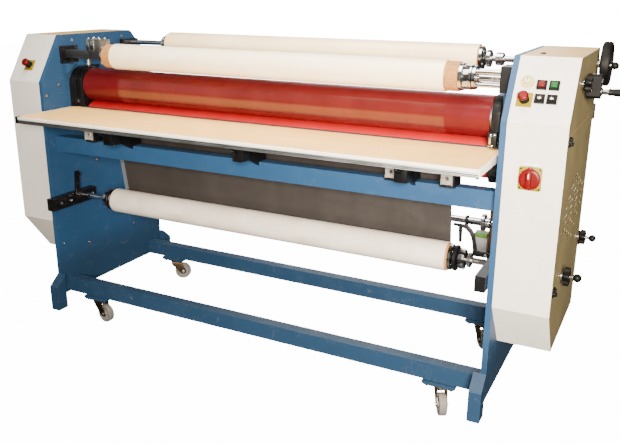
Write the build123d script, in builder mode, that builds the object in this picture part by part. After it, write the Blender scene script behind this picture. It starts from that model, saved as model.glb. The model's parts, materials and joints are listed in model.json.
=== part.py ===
"""Wide roll-type mounting press: two side plates joined by box beams, a rubber roller pair with a
feed table in front, film rolls above and below, enclosed drive and controls in the end covers.

X runs along the rollers, Y from the feed side to the back, Z up from the floor. All profiles use the
machine datum: mid-span, the front edge of the side plates, and the floor. The frame's origin is the
middle of the whole machine's footprint, so side(), front() and level() carry that shift.
"""
from build123d import *
from math import acos, atan2, cos, degrees, hypot, pi, radians, sin
import os

# ---------------------------------------------------------------- driving dimensions (millimetres)
SPAN = 1800.0            # over the outer faces of the two side plates
PLATE_T = 18.0           # side plate thickness
PLATE_DEPTH = 650.0      # side plate, front edge to rear edge
PLATE_BOTTOM = 112.0     # floor to the plates' lower edge
FOLD_Z = 996.0           # floor to the fold where the console slope starts
TOP_Z = 1170.0           # floor to the plates' top edge
TOP_SETBACK = 110.0      # the slope's run, front edge to top edge
REAR_CHAMFER_Y = 125.0   # rear top corner cut, along Y
REAR_CHAMFER_Z = 132.0   # and down Z

BEAM_D = 45.0            # box beams: depth
BEAM_H = 60.0            # and height
BEAM_WALL = 3.0
BEAM_FRONT_Y = 45.0      # front face of the front beams
BEAM_REAR_Y = 565.0      # front face of the rear beam
UPPER_BEAM_Z = 719.0     # underside of the upper beam

LEG_W = 40.0
LEG_D = 50.0
LEG_BOTTOM = 60.0
LEG_TOP = 205.0
LEG_SLOPE = 43.0         # height of the sloped top of each leg

COVER_RIGHT_W = 166.0
COVER_LEFT_W = 160.0
COVER_DEPTH = 540.0
COVER_FOLD_Z = 433.0     # lower fold of the covers
COVER_BOTTOM = 270.0
COVER_SETBACK = 118.0    # run of the lower chamfer
SHEET_T = 1.5

TABLE_FRONT = -155.0
TABLE_REAR_GAP = 3.0     # table to the bearing housings
TABLE_TOP = 888.0
TABLE_T = 24.0
TONGUE_T = 3.0           # thin lip that carries the sheet from the table to the nip
TONGUE_GAP = 6.0         # lip to the lower roller
TABLE_END_GAP = 12.0
EDGE_T = 6.0             # thickness of the strips along the table's edge
LIP_H = 11.0             # height of the white upper strip

NIP_Z = 907.0
ROLLER_R = 65.0
ROLLER_Y = 212.0
SLEEVE_END_GAP = 67.0    # side plate to the end of a rubber sleeve
SLEEVE_T = 12.0
TUBE_WALL = 8.0          # steel tube inside the rubber
PLUG_T = 30.0            # plug that closes each end of the tube
END_PROUD = 6.0          # steel tube past the rubber
JOURNAL_R = 17.0
NIP_GAP = 0.5            # closed rollers stay this far apart
LIFT = 12.0              # travel of the upper roller

HOUSING_T = 32.0         # thickness of a bearing housing
HOUSING_R = 72.0
BLOCK_FRONT = 40.0       # bearing block, ahead of the journal
BLOCK_REAR = 50.0        # and behind it
BLOCK_HALF_H = 38.0

CORE_BORE_R = 38.1       # cardboard core, three inch bore
CORE_WALL = 6.9
FILM_HALF = 655.0        # half the width of the film
FILM_SHIFT = 20.0        # the rolls sit this far towards the drive end
CORE_HALF = 697.0
TOP_FILM_BUILD = 3.0     # thickness of film wound on each core
LOWER_FILM_BUILD = 3.0
LOWER_FILM_HALF = 695.0
LOWER_WEB_HALF = 690.0
FRONT_ROLL = (155.0, 1095.0)    # Y and Z of each roll's axis
REAR_ROLL = (505.0, 1122.0)
LOWER_ROLL = (145.0, 516.0)
TAKEUP = (480.0, 540.0)
SPINDLE_R = 10.0
SPINDLE_OUT = 95.0       # spindles reach this far past the right side plate

LIFT_SHAFT = (240.0, 1095.0)
LIFT_SHAFT_R = 8.0
SCREW_R = 7.0            # lifting screw
SCREW_FOOT = 18.0        # screw tip above the bearing block's middle

CASTER_INSET = 160.0     # side plate's outer face to a caster's swivel axis
CASTER_WHEEL_R = 38.0
CASTER_TRAIL = 30.0
CASTER_PLATE_T = 4.0
CASTER_PAD_T = 10.0      # steel pad between a base beam and a caster plate
CASTER_PAD_HALF = (56.0, 36.0)
CASTER_RING_T = 8.0

GRIP_OUT = 149.0         # the lift crank's grip ends this far past the right cover
PLAY = 0.3               # between parts that move past each other
FIT = 0.05               # radial clearance of a running fit
WEB_T = 0.6              # film web
WEB_GAP = 0.4

# ---------------------------------------------------------------- values worked out from those
HALF = SPAN / 2
INNER = HALF - PLATE_T
RIGHT_FACE = HALF + COVER_RIGHT_W
LEFT_FACE = -HALF - COVER_LEFT_W
GRIP_END = RIGHT_FACE + GRIP_OUT
SPINDLE_END = HALF + SPINDLE_OUT
CASTER_X = HALF - CASTER_INSET
ROLLER_HALF = INNER - SLEEVE_END_GAP
CORE_R = CORE_BORE_R + CORE_WALL
TOP_FILM_R = CORE_R + TOP_FILM_BUILD
LOWER_FILM_R = CORE_R + LOWER_FILM_BUILD
LEG_REAR_END = PLATE_DEPTH + LEG_D
X_MID = (LEFT_FACE + GRIP_END) / 2
Y_MID = (TABLE_FRONT + LEG_REAR_END) / 2
BOTTOM_AXIS = NIP_Z - ROLLER_R
TOP_AXIS = NIP_Z + ROLLER_R + NIP_GAP
BEAM_MID_Y = BEAM_FRONT_Y + BEAM_D / 2
REAR_MID_Y = BEAM_REAR_Y + BEAM_D / 2
TABLE_HALF = INNER - TABLE_END_GAP
HOUSING_X = INNER - HOUSING_T
TABLE_BACK = ROLLER_Y - HOUSING_R - TABLE_REAR_GAP
TONGUE_BACK = ROLLER_Y - (ROLLER_R ** 2 - (TABLE_TOP - BOTTOM_AXIS) ** 2) ** 0.5 - TONGUE_GAP
TONGUE_END = HOUSING_X - PLAY
SLOPE = hypot(TOP_SETBACK, TOP_Z - FOLD_Z)
SLOPE_Y = TOP_SETBACK / SLOPE
SLOPE_Z = (TOP_Z - FOLD_Z) / SLOPE

os.makedirs("parts", exist_ok=True)


# ---------------------------------------------------------------- planes on the machine's datum
def side(x):
    """Plane facing +X at x: its sketch is drawn in Y and Z."""
    return Plane(origin=(x - X_MID, -Y_MID, 0), x_dir=(0, 1, 0), z_dir=(1, 0, 0))


def front(y):
    """Plane facing the feed side at y: its sketch is drawn in X and Z."""
    return Plane(origin=(-X_MID, y - Y_MID, 0), x_dir=(1, 0, 0), z_dir=(0, -1, 0))


def level(z):
    """Plane facing up at z: its sketch is drawn in X and Y."""
    return Plane(origin=(-X_MID, -Y_MID, z), x_dir=(1, 0, 0), z_dir=(0, 0, 1))


def console(x, climb, lift=0.0):
    """Plane on the sloped console face, climb measured up the slope from the fold."""
    y = climb * SLOPE_Y - lift * SLOPE_Z
    z = FOLD_Z + climb * SLOPE_Z + lift * SLOPE_Y
    return Plane(origin=(x - X_MID, y - Y_MID, z), x_dir=(1, 0, 0), z_dir=(0, -SLOPE_Z, SLOPE_Y))


def keep(piece, name):
    """Label a finished sub-part and write its STEP file."""
    piece.part.label = name
    export_step(piece.part, f"parts/{name}.step")


def rod(x0, x1, axis, radius):
    """Add a round bar along X inside the current part."""
    with BuildSketch(side(x0)) as disc:
        with Locations(axis):
            Circle(radius)
    extrude(disc.sketch, amount=x1 - x0)


def bore(x0, x1, axis, radius):
    """Cut a round hole along X through the current part."""
    with BuildSketch(side(x0)) as disc:
        with Locations(axis):
            Circle(radius)
    extrude(disc.sketch, amount=x1 - x0, mode=Mode.SUBTRACT)


def slab(x0, x1, y0, y1, z0, z1, mode=Mode.ADD):
    """Add or cut a plain block between two corners."""
    with BuildSketch(side(x0)) as block:
        with Locations(((y0 + y1) / 2, (z0 + z1) / 2)):
            Rectangle(y1 - y0, z1 - z0)
    extrude(block.sketch, amount=x1 - x0, mode=mode)


def outline(x0, x1, points, mode=Mode.ADD):
    """Add or cut a prism along X from a Y-Z outline."""
    with BuildSketch(side(x0)) as profile:
        with BuildLine():
            Polyline(*points, close=True)
        make_face()
    extrude(profile.sketch, amount=x1 - x0, mode=mode)


# ---------------------------------------------------------------- frame
PLATE_OUTLINE = [
    (0, PLATE_BOTTOM), (0, FOLD_Z), (TOP_SETBACK, TOP_Z), (PLATE_DEPTH - REAR_CHAMFER_Y, TOP_Z),
    (PLATE_DEPTH, TOP_Z - REAR_CHAMFER_Z), (PLATE_DEPTH, PLATE_BOTTOM),
]
SHAFT_HOLES = [(FRONT_ROLL, SPINDLE_R), (REAR_ROLL, SPINDLE_R), (LOWER_ROLL, SPINDLE_R),
               (TAKEUP, SPINDLE_R), (LIFT_SHAFT, LIFT_SHAFT_R), ((ROLLER_Y, BOTTOM_AXIS), JOURNAL_R)]

with BuildPart() as side_plates:
    outline(-HALF, -INNER, PLATE_OUTLINE)
    outline(INNER, HALF, PLATE_OUTLINE)
    for hole_axis, hole_r in SHAFT_HOLES:
        bore(INNER, HALF, hole_axis, hole_r + FIT)
keep(side_plates, "side_plates")


def box_beam(y, z):
    """Hollow beam between the side plates, closed by a plate at each end."""
    slab(-INNER, INNER, y, y + BEAM_D, z, z + BEAM_H)
    slab(-INNER + BEAM_WALL, INNER - BEAM_WALL, y + BEAM_WALL, y + BEAM_D - BEAM_WALL,
         z + BEAM_WALL, z + BEAM_H - BEAM_WALL, mode=Mode.SUBTRACT)


with BuildPart() as cross_beams:
    box_beam(BEAM_FRONT_Y, PLATE_BOTTOM)
    box_beam(BEAM_REAR_Y, PLATE_BOTTOM)
    box_beam(BEAM_FRONT_Y, UPPER_BEAM_Z)
keep(cross_beams, "cross_beams")

FRONT_LEG = [(-LEG_D, LEG_BOTTOM), (-LEG_D, LEG_TOP - LEG_SLOPE), (0, LEG_TOP), (0, LEG_BOTTOM)]
REAR_BLOCK = [(PLATE_DEPTH, PLATE_BOTTOM), (PLATE_DEPTH, LEG_TOP), (LEG_REAR_END, LEG_TOP - LEG_SLOPE),
              (LEG_REAR_END, PLATE_BOTTOM)]
GUSSET = [(110, 1058), (165, 1058), (116, 1020)]
GUSSET_T = 22.0

with BuildPart() as frame_blocks:
    for leg_x in (-HALF, HALF - LEG_W):
        outline(leg_x, leg_x + LEG_W, FRONT_LEG)
        outline(leg_x, leg_x + LEG_W, REAR_BLOCK)
    for pad_x in (-CASTER_X, CASTER_X):
        for pad_y in (BEAM_MID_Y, REAR_MID_Y):
            slab(pad_x - CASTER_PAD_HALF[0], pad_x + CASTER_PAD_HALF[0], pad_y - CASTER_PAD_HALF[1],
                 pad_y + CASTER_PAD_HALF[1], PLATE_BOTTOM - CASTER_PAD_T, PLATE_BOTTOM)
    outline(-INNER, -INNER + GUSSET_T, GUSSET)
    outline(INNER - GUSSET_T, INNER, GUSSET)
keep(frame_blocks, "frame_blocks")

# ---------------------------------------------------------------- covers
COVER_OUTLINE = [
    (0, COVER_FOLD_Z), (0, FOLD_Z), (TOP_SETBACK, TOP_Z), (COVER_DEPTH, TOP_Z),
    (COVER_DEPTH, COVER_BOTTOM), (COVER_SETBACK, COVER_BOTTOM),
]


def cover_solid(x0, x1, inset, mode=Mode.ADD):
    """Add or cut a prism with a cover's section, its outline moved inwards by inset."""
    with BuildSketch(side(x0)) as section:
        with BuildLine():
            Polyline(*COVER_OUTLINE, close=True)
        make_face()
        if inset:
            offset(amount=-inset, kind=Kind.INTERSECTION, mode=Mode.REPLACE)
    extrude(section.sketch, amount=x1 - x0, mode=mode)


GLAND = (HALF + 50, 150.0)   # X and Y of the cable inlet under the right cover
GLAND_R = 10.0
GLAND_NUT = 6.0          # the nut stands out this far round the hole
GLAND_DROP = 14.0
GLAND_RISE = 10.0
CABLE_R = 6.5

with BuildPart() as right_cover:
    cover_solid(HALF, RIGHT_FACE, 0)
    cover_solid(HALF, RIGHT_FACE, SHEET_T, mode=Mode.SUBTRACT)
    with BuildSketch(level(COVER_BOTTOM)):
        with Locations(GLAND):
            Circle(GLAND_R)
    extrude(amount=SHEET_T, mode=Mode.SUBTRACT)
keep(right_cover, "right_cover")

with BuildPart() as left_cover:
    cover_solid(LEFT_FACE, -HALF, 0)
    cover_solid(LEFT_FACE + SHEET_T, -HALF, SHEET_T, mode=Mode.SUBTRACT)
keep(left_cover, "left_cover")

SLOT_L = 62.0
SLOT_H = 8.0
SLOT_ROWS = (1, 2, 3, 4, 4, 4, 4, 3, 2, 1)
SLOT_PITCH_Y = 108.0
SLOT_PITCH_Z = 22.0
SLOT_MID = (270.0, 700.0)
PANEL_IN = RIGHT_FACE - SHEET_T
BAND_Z = 937.0
BAND_H = 26.0
LATCH_W = 30.0
LATCH_INSET = 16.0       # front edge of the panel to its latches
PANEL_HOLES = [FRONT_ROLL, REAR_ROLL, LOWER_ROLL, TAKEUP, LIFT_SHAFT]
STEM_R = 6.0

with BuildPart() as vent_panel:
    cover_solid(PANEL_IN, RIGHT_FACE, SHEET_T + PLAY)
    slab(RIGHT_FACE, RIGHT_FACE + SHEET_T, LATCH_INSET + LATCH_W + PLAY, COVER_DEPTH - SHEET_T, BAND_Z, BAND_Z + BAND_H)
    slot_places = []
    for row, count in enumerate(SLOT_ROWS):
        slot_z = SLOT_MID[1] + (row - (len(SLOT_ROWS) - 1) / 2) * SLOT_PITCH_Z
        slot_places += [(SLOT_MID[0] + (i - (count - 1) / 2) * SLOT_PITCH_Y, slot_z) for i in range(count)]
    with BuildSketch(side(PANEL_IN)):
        with Locations(*slot_places):
            SlotOverall(SLOT_L, SLOT_H)
        with Locations(*[hole for hole in PANEL_HOLES if hole != LIFT_SHAFT]):
            Circle(STEM_R + PLAY)
        with Locations(LIFT_SHAFT):
            Circle(LIFT_SHAFT_R + PLAY)
    extrude(amount=SHEET_T, mode=Mode.SUBTRACT)
keep(vent_panel, "vent_panel")

LATCH_T = 12.0
LATCH_BASES = (490.0, 936.0)     # Z of the latches' lower ends
SIDE_LATCH_H = 27.0
REAR_LATCH_D = 18.0
REAR_LATCH_H = 52.0
REAR_LATCH_OUT = 6.0     # a rear latch passes the panel by this much

with BuildPart() as panel_latches:
    for latch_z in LATCH_BASES:
        slab(RIGHT_FACE, RIGHT_FACE + LATCH_T, LATCH_INSET, LATCH_INSET + LATCH_W, latch_z, latch_z + SIDE_LATCH_H)
        slab(RIGHT_FACE + REAR_LATCH_OUT - LATCH_W, RIGHT_FACE + REAR_LATCH_OUT, COVER_DEPTH, COVER_DEPTH + REAR_LATCH_D,
             latch_z, latch_z + REAR_LATCH_H)
    with BuildSketch(level(COVER_BOTTOM)):
        with Locations(GLAND):
            Circle(GLAND_R + GLAND_NUT)
    extrude(amount=-GLAND_DROP)
    with BuildSketch(level(COVER_BOTTOM)):
        with Locations(GLAND):
            Circle(GLAND_R - FIT)
    extrude(amount=GLAND_RISE)
    with BuildSketch(level(COVER_BOTTOM - GLAND_DROP)):
        with Locations(GLAND):
            Circle(CABLE_R)
    extrude(amount=GLAND_DROP + GLAND_RISE, mode=Mode.SUBTRACT)
keep(panel_latches, "panel_latches")

# ---------------------------------------------------------------- feed table
BOARD_FRONT = TABLE_FRONT + EDGE_T
END_STRIP = 4.0
BOARD_END = TABLE_HALF - END_STRIP
TABLE_UNDER = TABLE_TOP - TABLE_T

with BuildPart() as feed_table:
    slab(-BOARD_END, BOARD_END, BOARD_FRONT, TABLE_BACK, TABLE_UNDER, TABLE_TOP)
    slab(-TONGUE_END, TONGUE_END, TABLE_BACK, TONGUE_BACK, TABLE_TOP - TONGUE_T, TABLE_TOP)
keep(feed_table, "feed_table")

with BuildPart() as table_edging:
    slab(-BOARD_END, BOARD_END, TABLE_FRONT, BOARD_FRONT, TABLE_TOP - LIP_H, TABLE_TOP)
    chamfer(edges().filter_by(Axis.X).group_by(Axis.Y)[0], 2)
    slab(BOARD_END, TABLE_HALF, BOARD_FRONT, TABLE_BACK, TABLE_UNDER, TABLE_TOP)
    slab(-TABLE_HALF, -BOARD_END, TABLE_FRONT, TABLE_BACK, TABLE_UNDER, TABLE_TOP)
    slab(-BOARD_END, BOARD_END, TABLE_FRONT, BOARD_FRONT, TABLE_UNDER, TABLE_TOP - LIP_H - PLAY)
keep(table_edging, "table_edging")

BRACKET_X = (406.0 - HALF, 59.0, HALF - 278)
BRACKET_T = 10.0
BEAM_TOP = UPPER_BEAM_Z + BEAM_H
ARM_TIP = -130.0
TABLE_ARM = [(ARM_TIP, TABLE_UNDER), (ARM_TIP, TABLE_UNDER - 10), (BEAM_FRONT_Y, BEAM_TOP - 12),
             (BEAM_FRONT_Y, BEAM_TOP), (BEAM_FRONT_Y + BEAM_D, BEAM_TOP),
             (BEAM_FRONT_Y + BEAM_D, TABLE_UNDER)]
CLAMP_X = (220.0 - HALF, HALF - 345, HALF - 167)
CLAMP_HALF_W = 23.0
CLAMP_FRONT = -12.0
CLAMP_STEP = 22.0        # where the clamp's foot starts
CLAMP_DROP = 36.0
FOOT = (TABLE_HALF - 42, 0.0)    # X and Y of the round stop under the table
FOOT_R = 14.0
FOOT_H = 42.0
FOOT_TAPER = 12.0

with BuildPart() as table_brackets:
    for arm_x in BRACKET_X:
        outline(arm_x - BRACKET_T / 2, arm_x + BRACKET_T / 2, TABLE_ARM)
    for clamp_x in CLAMP_X:
        slab(clamp_x - CLAMP_HALF_W, clamp_x + CLAMP_HALF_W, CLAMP_FRONT, CLAMP_STEP,
             TABLE_UNDER - CLAMP_DROP, TABLE_UNDER)
        slab(clamp_x - CLAMP_HALF_W, clamp_x + CLAMP_HALF_W, CLAMP_STEP, BEAM_FRONT_Y + BEAM_D,
             BEAM_TOP, TABLE_UNDER)
    with BuildSketch(level(TABLE_UNDER)):
        with Locations(FOOT):
            Circle(FOOT_R)
    extrude(amount=-FOOT_H, taper=FOOT_TAPER)
keep(table_brackets, "table_brackets")

# ---------------------------------------------------------------- rollers and their housings
HOUSING_RIM = 22.0       # metal left above and behind the window
WINDOW_TOP = TOP_AXIS + BLOCK_HALF_H + LIFT + PLAY
HOUSING_TOP = WINDOW_TOP + HOUSING_RIM
HOUSING_REAR = ROLLER_Y + BLOCK_REAR + HOUSING_RIM

with BuildPart() as roller_end_plates:
    for house_x in (-INNER, HOUSING_X):
        with BuildSketch(side(house_x)):
            with BuildLine():
                front_y = ROLLER_Y - HOUSING_R
                low_z = BOTTOM_AXIS - HOUSING_R
                Line((ROLLER_Y, low_z), (HOUSING_REAR, low_z))
                Line((HOUSING_REAR, low_z), (HOUSING_REAR, HOUSING_TOP))
                Line((HOUSING_REAR, HOUSING_TOP), (ROLLER_Y, HOUSING_TOP))
                top_mid = HOUSING_TOP - HOUSING_R
                RadiusArc((ROLLER_Y, HOUSING_TOP), (front_y, top_mid), -HOUSING_R)
                Line((front_y, top_mid), (front_y, BOTTOM_AXIS))
                RadiusArc((front_y, BOTTOM_AXIS), (ROLLER_Y, low_z), -HOUSING_R)
            make_face()
        extrude(amount=HOUSING_T)
        slab(house_x, house_x + HOUSING_T, ROLLER_Y - BLOCK_FRONT - PLAY, ROLLER_Y + BLOCK_REAR + PLAY,
             TOP_AXIS - BLOCK_HALF_H - PLAY, WINDOW_TOP, mode=Mode.SUBTRACT)
        bore(house_x, house_x + HOUSING_T, (ROLLER_Y, BOTTOM_AXIS), JOURNAL_R + FIT)
        with BuildSketch(level(WINDOW_TOP)):
            with Locations((house_x + HOUSING_T / 2, LIFT_SHAFT[0])):
                Circle(SCREW_R + PLAY)
        extrude(amount=HOUSING_TOP - WINDOW_TOP, mode=Mode.SUBTRACT)
keep(roller_end_plates, "roller_end_plates")

BEVEL_R = 15.0
BEVEL_H = 6.0
CRANK_X = RIGHT_FACE + 8  # inner face of the lift crank
THREAD_SPARE = 2.0       # screw hole beyond the lifted block's reach
COLLAR_STEP = 4.0
SCREW_TOP = LIFT_SHAFT[1] - BEVEL_R - PLAY
SCREW_TIP = TOP_AXIS + SCREW_FOOT

with BuildPart() as bearing_blocks:
    for house_x in (-INNER, HOUSING_X):
        slab(house_x + PLAY, house_x + HOUSING_T - PLAY, ROLLER_Y - BLOCK_FRONT, ROLLER_Y + BLOCK_REAR,
             TOP_AXIS - BLOCK_HALF_H, TOP_AXIS + BLOCK_HALF_H)
        bore(house_x, house_x + HOUSING_T, (ROLLER_Y, TOP_AXIS), JOURNAL_R + FIT)
        with BuildSketch(level(SCREW_TIP - LIFT - THREAD_SPARE)):
            with Locations((house_x + HOUSING_T / 2, LIFT_SHAFT[0])):
                Circle(SCREW_R + FIT)
        extrude(amount=BLOCK_HALF_H + LIFT, mode=Mode.SUBTRACT)
keep(bearing_blocks, "bearing_blocks")

for screw_side, screw_x in (("left", -INNER + HOUSING_T / 2), ("right", INNER - HOUSING_T / 2)):
    with BuildPart() as lift_screw:
        with BuildSketch(level(SCREW_TIP)):
            with Locations((screw_x, LIFT_SHAFT[0])):
                Circle(SCREW_R)
        extrude(amount=SCREW_TOP - SCREW_TIP)
        with BuildSketch(level(HOUSING_TOP + PLAY)):
            with Locations((screw_x, LIFT_SHAFT[0])):
                Circle(BEVEL_R - COLLAR_STEP)
        extrude(amount=SCREW_TOP - HOUSING_TOP - PLAY)
        with BuildSketch(level(SCREW_TOP)):
            with Locations((screw_x, LIFT_SHAFT[0])):
                Circle(BEVEL_R)
        extrude(amount=BEVEL_H, taper=45)
    keep(lift_screw, f"lift_screw_{screw_side}")

with BuildPart() as lift_shaft:
    rod(-INNER + PLAY, CRANK_X, LIFT_SHAFT, LIFT_SHAFT_R)
    for hand in (-1, 1):
        gear_x = hand * (INNER - HOUSING_T / 2 - BEVEL_R - PLAY)
        with BuildSketch(side(gear_x)):
            with Locations(LIFT_SHAFT):
                Circle(BEVEL_R)
        extrude(amount=hand * BEVEL_H, taper=45)
keep(lift_shaft, "lift_shaft")

CRANK_ARM = 30.0
CRANK_T = 38.0
CRANK_HALF_W = 20.0
CRANK_PIN_R = 8.0
CRANK_PIN_L = 20.0
GRIP_R = 12.0

with BuildPart() as lift_crank:
    slab(CRANK_X, CRANK_X + CRANK_T, LIFT_SHAFT[0] - CRANK_HALF_W, LIFT_SHAFT[0] + CRANK_HALF_W,
         LIFT_SHAFT[1] - CRANK_ARM - CRANK_HALF_W, LIFT_SHAFT[1] + CRANK_HALF_W)
    chamfer(edges().filter_by(Axis.X), 5)
    crank_pin = (LIFT_SHAFT[0], LIFT_SHAFT[1] - CRANK_ARM)
    rod(CRANK_X + CRANK_T, CRANK_X + CRANK_T + CRANK_PIN_L, crank_pin, CRANK_PIN_R)
    rod(CRANK_X + CRANK_T + CRANK_PIN_L, GRIP_END, crank_pin, GRIP_R)
    chamfer(edges().group_by(Axis.X)[-1], 3)
keep(lift_crank, "lift_crank")


def roller_journals(z, x_end):
    """Stub shafts fixed to the two end plugs of a roller."""
    rod(-INNER + PLAY, -ROLLER_HALF - END_PROUD, (ROLLER_Y, z), JOURNAL_R)
    rod(ROLLER_HALF + END_PROUD, x_end, (ROLLER_Y, z), JOURNAL_R)


def roller_shaft(z):
    """Steel core of a roller: a tube with a plug at each end."""
    rod(-ROLLER_HALF - END_PROUD, ROLLER_HALF + END_PROUD, (ROLLER_Y, z), ROLLER_R - SLEEVE_T)
    bore(-ROLLER_HALF + PLUG_T, ROLLER_HALF - PLUG_T, (ROLLER_Y, z), ROLLER_R - SLEEVE_T - TUBE_WALL)


def roller_sleeve(z):
    """Rubber tube bonded over the steel core."""
    rod(-ROLLER_HALF, ROLLER_HALF, (ROLLER_Y, z), ROLLER_R)
    bore(-ROLLER_HALF, ROLLER_HALF, (ROLLER_Y, z), ROLLER_R - SLEEVE_T)


with BuildPart() as top_shaft:
    roller_shaft(TOP_AXIS)
keep(top_shaft, "top_shaft")

with BuildPart() as top_journals:
    roller_journals(TOP_AXIS, INNER - PLAY)
keep(top_journals, "top_journals")

with BuildPart() as top_sleeve:
    roller_sleeve(TOP_AXIS)
keep(top_sleeve, "top_sleeve")

GEARBOX_L = 78.0
GEARBOX_HALF = 62.0
GEARBOX_DROP = 70.0      # roller axis to the gearbox's underside
CAN_X = HALF + 54        # axis of the upright motor can
CAN_R = 50.0
CAN_L = 190.0
CAN_CAP_R = 44.0
CAN_CAP_L = 30.0
MOTOR_X = HALF + GEARBOX_L

with BuildPart() as bottom_shaft:
    roller_shaft(BOTTOM_AXIS)
keep(bottom_shaft, "bottom_shaft")

with BuildPart() as bottom_journals:
    roller_journals(BOTTOM_AXIS, MOTOR_X)
keep(bottom_journals, "bottom_journals")

with BuildPart() as bottom_sleeve:
    roller_sleeve(BOTTOM_AXIS)
keep(bottom_sleeve, "bottom_sleeve")

with BuildPart() as drive_motor:
    slab(HALF, MOTOR_X, ROLLER_Y - GEARBOX_HALF, ROLLER_Y + GEARBOX_HALF,
         BOTTOM_AXIS - GEARBOX_DROP, BOTTOM_AXIS + GEARBOX_HALF)
    fillet(edges().filter_by(Axis.X), 14)
    bore(HALF, MOTOR_X, (ROLLER_Y, BOTTOM_AXIS), JOURNAL_R + FIT)
    with BuildSketch(level(BOTTOM_AXIS - GEARBOX_DROP)):
        with Locations((CAN_X, ROLLER_Y)):
            Circle(CAN_R)
    extrude(amount=-CAN_L)
    with BuildSketch(level(BOTTOM_AXIS - GEARBOX_DROP - CAN_L)):
        with Locations((CAN_X, ROLLER_Y)):
            Circle(CAN_CAP_R)
    extrude(amount=-CAN_CAP_L)
keep(drive_motor, "drive_motor")

BOX_W = 110.0
BOX_Y = (320.0, 510.0)
BOX_Z = (590.0, 850.0)
BOX_LID_T = 8.0
BOX_LID_INSET = 10.0

with BuildPart() as control_box:
    slab(HALF, HALF + BOX_W, *BOX_Y, *BOX_Z)
    fillet(edges().filter_by(Axis.X), 6)
    slab(HALF + BOX_W, HALF + BOX_W + BOX_LID_T, BOX_Y[0] + BOX_LID_INSET, BOX_Y[1] - BOX_LID_INSET,
         BOX_Z[0] + BOX_LID_INSET, BOX_Z[1] - BOX_LID_INSET)
keep(control_box, "control_box")

# ---------------------------------------------------------------- film rolls
PLUG_L = 45.0
FLANGE_T = 12.0
FLANGE_STEP = 3.0        # chuck flange below the core's outside
REAR_FILM_HALF = FILM_HALF + 8
REAR_CORE_HALF = REAR_FILM_HALF + 2
LOWER_CORE_HALF = LOWER_FILM_HALF + 6


def film(name, axis, radius, half):
    """Film wound on a core."""
    with BuildPart() as wound:
        rod(FILM_SHIFT - half, FILM_SHIFT + half, axis, radius)
        bore(FILM_SHIFT - half, FILM_SHIFT + half, axis, CORE_R + FIT)
    keep(wound, name)


def core(name, axis, half):
    """Cardboard tube."""
    with BuildPart() as tube:
        rod(FILM_SHIFT - half, FILM_SHIFT + half, axis, CORE_R)
        bore(FILM_SHIFT - half, FILM_SHIFT + half, axis, CORE_BORE_R)
    keep(tube, name)


def hubs(name, axis, half, left_end, rings):
    """Chucks in both ends of a core, joined by a spindle; each ring is its X from the core's middle, radius and thickness."""
    with BuildPart() as chucks:
        for end in (-1, 1):
            inner_x = FILM_SHIFT + end * (half - PLUG_L)
            end_x = FILM_SHIFT + end * half
            outer_x = FILM_SHIFT + end * (half + FLANGE_T)
            rod(min(inner_x, end_x), max(inner_x, end_x), axis, CORE_BORE_R - FIT)
            rod(min(end_x, outer_x), max(end_x, outer_x), axis, CORE_R - FLANGE_STEP)
        for ring_x, ring_r, ring_t in rings:
            rod(FILM_SHIFT + ring_x, FILM_SHIFT + ring_x + ring_t, axis, ring_r)
        rod(left_end, SPINDLE_END, axis, SPINDLE_R)
    keep(chucks, name)


CLAMP_L = 79.0
CLAMP_END = FILM_SHIFT - CORE_HALF - FLANGE_T - 1     # the left clamp box stops 1 mm short of the chuck
STUB_L = 60.0                             # spindle inside the clamp box
film("front_film", FRONT_ROLL, TOP_FILM_R, FILM_HALF)
core("front_core", FRONT_ROLL, CORE_HALF)
hubs("front_hubs", FRONT_ROLL, CORE_HALF, CLAMP_END - STUB_L, [(CORE_HALF + 12, 34, 20), (CORE_HALF + 32, 38, 8)])
film("rear_film", REAR_ROLL, TOP_FILM_R, REAR_FILM_HALF)
core("rear_core", REAR_ROLL, REAR_CORE_HALF)
hubs("rear_hubs", REAR_ROLL, REAR_CORE_HALF, -INNER + 12, [(REAR_CORE_HALF + 24, 30, 14), (REAR_CORE_HALF + 55, 22, 26)])
film("lower_film", LOWER_ROLL, LOWER_FILM_R, LOWER_FILM_HALF)
core("lower_core", LOWER_ROLL, LOWER_CORE_HALF)
hubs("lower_hubs", LOWER_ROLL, LOWER_CORE_HALF, -INNER + PLAY,
     [(-LOWER_CORE_HALF - 49, 36, 16), (-LOWER_CORE_HALF - 26, 42, 8), (LOWER_CORE_HALF + 18, 42, 10),
      (LOWER_CORE_HALF + 34, 34, 18), (LOWER_CORE_HALF + 60, 24, 12)])

TAKEUP_HALF = INNER - 82     # half the length of the take-up bar
TAKEUP_R = 12.0
TAKEUP_DISC_R = 34.0
TAKEUP_DISC_T = 26.0
KEY_L = 110.0
KEY_REACH = 27.0         # keys stand out this far from the axis, to grip a core

with BuildPart() as takeup_shaft:
    rod(-INNER + PLAY, SPINDLE_END, TAKEUP, SPINDLE_R)
    rod(-TAKEUP_HALF, TAKEUP_HALF, TAKEUP, TAKEUP_R)
    rod(TAKEUP_HALF, TAKEUP_HALF + TAKEUP_DISC_T, TAKEUP, TAKEUP_DISC_R)
    slab(TAKEUP_HALF - KEY_L, TAKEUP_HALF, TAKEUP[0] - KEY_REACH, TAKEUP[0] + KEY_REACH,
         TAKEUP[1] - 6, TAKEUP[1] + 6)
keep(takeup_shaft, "takeup_shaft")

# ---------------------------------------------------------------- brackets that hold the rolls
BAR_T = 32.0
BAR_FRONT = -35.0
BAR_BACK = 205.0
BAR_Z = (489.0, 538.0)
BLOCK_RIGHT_T = 37.0

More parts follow.
